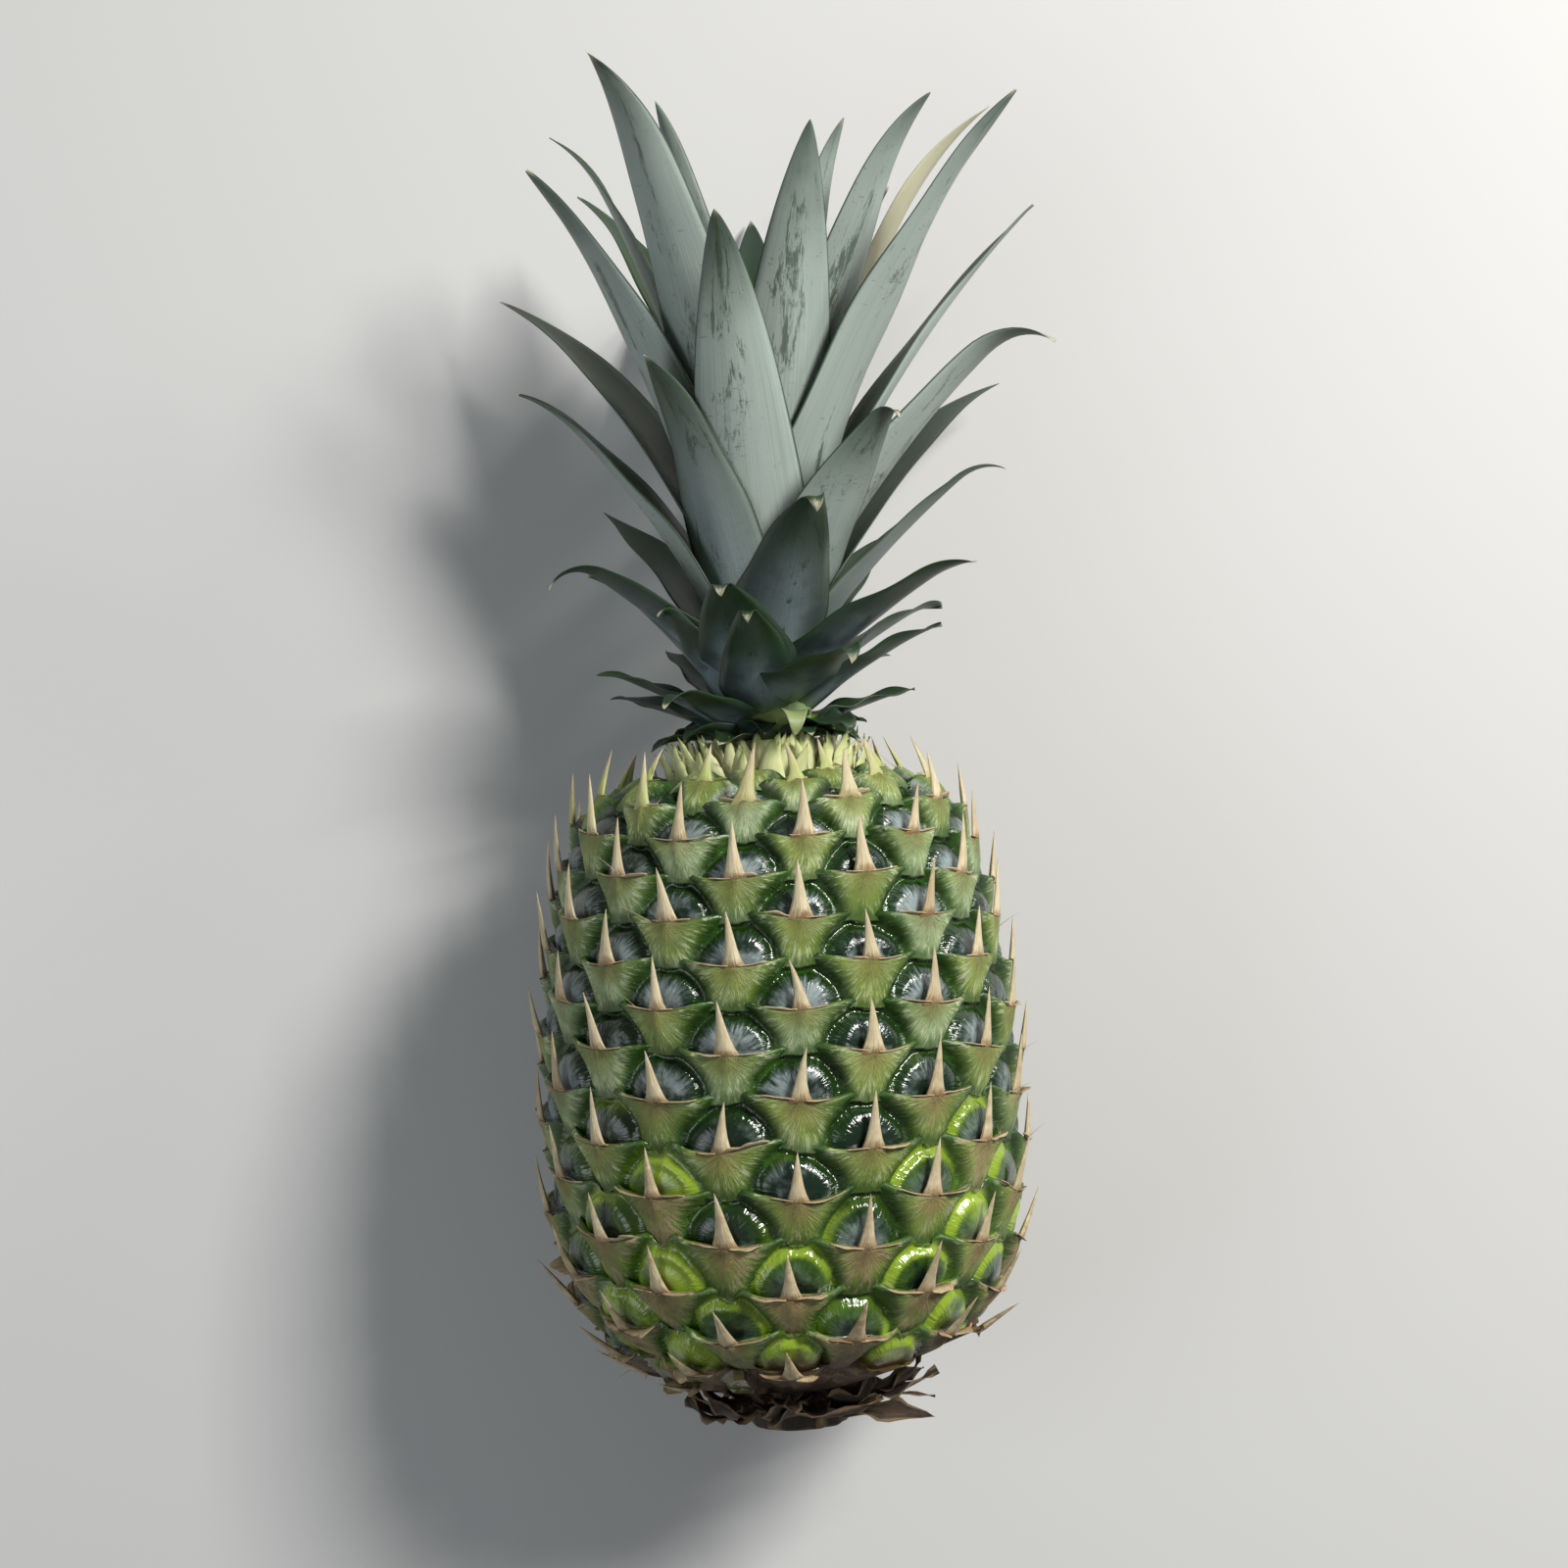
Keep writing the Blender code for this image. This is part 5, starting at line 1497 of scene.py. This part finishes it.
class PINEAPPLE_OT_spines(bpy.types.Operator):
    """Build the spines and the papery edges of the lips"""
    bl_idname = "pineapple.spines"
    bl_label = "Spines and papery lips"

    def execute(self, context):
        tints = context.scene.pineapple_spines
        material = dry_material("dry_spine", tints.spine, tints.root, tints.fresh)
        settle(loft("spines", *spine_rings()), material, "dried_bract", "fruit")
        material = dry_material("dry_paper", tints.paper, tints.root, tints.fresh)
        settle(loft("papery_lips", *paper_rings(tints.paper_height)), material, "dried_bract", "fruit")
        return {"FINISHED"}


class PINEAPPLE_OT_neck(bpy.types.Operator):
    """Build the neck and its pale bracts"""
    bl_idname = "pineapple.neck"
    bl_label = "Neck"

    def execute(self, context):
        material = neck_material(context.scene.pineapple_neck)
        profile = ((0.012, NECK_SEAT_Y + GAP), (NECK_RADIUS, NECK_SEAT_Y + GAP), (NECK_RADIUS, 0.0800),
                   (0.0150, NECK_TOP_Y), (0.012, NECK_TOP_Y))
        settle(loft("neck_drum", *turned_rings(profile, 48, 0.0002, 31)), material, "neck_bract", "neck_bracts")
        settle(loft("neck_blades", *neck_bract_rings()), material, "neck_bract", "neck_bracts")
        tints = context.scene.pineapple_spines
        material = dry_material("dry_fibre", tints.spine, tints.root, tints.fresh)
        settle(loft("fibres", *fibre_rings()), material, "dried_bract", "neck_bracts")
        return {"FINISHED"}


class PINEAPPLE_OT_crown(bpy.types.Operator):
    """Build the crown's stem and leaves"""
    bl_idname = "pineapple.crown"
    bl_label = "Crown"

    def execute(self, context):
        tints = context.scene.pineapple_crown
        material = leaf_material(tints)
        heights = np.linspace(0, CORE_LENGTH, 14)
        radii = CORE_FOOT_RADIUS + (CORE_TOP_RADIUS - CORE_FOOT_RADIUS) * heights / CORE_LENGTH
        profile = np.stack([radii, heights + CROWN_FOOT_Y], -1)
        rings, places, values = turned_rings(profile, 36, 0.0003, 32)
        values[..., 2] = 2
        settle(loft("crown_stem", lean_crown(rings), places, values), material, "crown_leaf", "crown")
        settle(loft("crown_leaves", *crown_leaf_rings(tints.leaf_thickness)), material, "crown_leaf", "crown")
        settle(loft("foot_leaves", *foot_leaf_rings(tints.leaf_thickness)), material, "crown_leaf", "crown")
        return {"FINISHED"}


class PINEAPPLE_OT_stalk(bpy.types.Operator):
    """Build the cut stalk and its dried bracts"""
    bl_idname = "pineapple.stalk"
    bl_label = "Stalk"

    def execute(self, context):
        material = husk_material(context.scene.pineapple_neck)
        profile = ((0.008, FOOT_SEAT_Y - GAP), (STALK_COLLAR_RADIUS, FOOT_SEAT_Y - GAP),
                   (STALK_RADIUS, FOOT_SEAT_Y - STALK_COLLAR_HEIGHT), (STALK_END_RADIUS, STALK_END_Y + 0.0006),
                   (STALK_END_RADIUS - 0.0007, STALK_END_Y), (0.004, STALK_END_Y + 0.0004))
        settle(loft("stalk_stub", *turned_rings(profile, 48, 0.0004, 33)), material, "dried_bract", "stalk")
        settle(loft("dried_bracts", *dried_bract_rings()), material, "dried_bract", "stalk")
        return {"FINISHED"}


class PINEAPPLE_OT_stage(bpy.types.Operator):
    """Build the floor, the lights and the camera"""
    bl_idname = "pineapple.stage"
    bl_label = "Stage"

    def execute(self, context):
        build_stage(context.scene.pineapple_stage)
        return {"FINISHED"}


OPERATORS = (PINEAPPLE_OT_rind, PINEAPPLE_OT_spines, PINEAPPLE_OT_neck, PINEAPPLE_OT_crown,
             PINEAPPLE_OT_stalk, PINEAPPLE_OT_stage)
SETTINGS = {
    "pineapple_rind": PineappleRindSettings,
    "pineapple_spines": PineappleSpineSettings,
    "pineapple_crown": PineappleCrownSettings,
    "pineapple_neck": PineappleNeckSettings,
    "pineapple_stage": PineappleStageSettings,
}


class PINEAPPLE_PT_panel(bpy.types.Panel):
    """Lists the pineapple's settings and pieces"""
    bl_idname = "PINEAPPLE_PT_panel"
    bl_label = "Pineapple"
    bl_space_type = "VIEW_3D"
    bl_region_type = "UI"
    bl_category = "Pineapple"

    def draw(self, context):
        for name, group in SETTINGS.items():
            box = self.layout.box()
            for key in group.__annotations__:
                box.prop(getattr(context.scene, name), key)
        for operator in OPERATORS:
            self.layout.operator(operator.bl_idname)


def register():
    for name, group in SETTINGS.items():
        bpy.utils.register_class(group)
        setattr(bpy.types.Scene, name, bpy.props.PointerProperty(type=group))
    for operator in OPERATORS:
        bpy.utils.register_class(operator)
    bpy.utils.register_class(PINEAPPLE_PT_panel)


def unregister():
    bpy.utils.unregister_class(PINEAPPLE_PT_panel)
    for operator in reversed(OPERATORS):
        bpy.utils.unregister_class(operator)
    for name, group in SETTINGS.items():
        delattr(bpy.types.Scene, name)
        bpy.utils.unregister_class(group)


def main():
    register()
    bpy.ops.pineapple.rind()
    bpy.ops.pineapple.spines()
    bpy.ops.pineapple.neck()
    bpy.ops.pineapple.crown()
    bpy.ops.pineapple.stalk()
    bpy.ops.pineapple.stage()


if __name__ == "__main__":
    main()
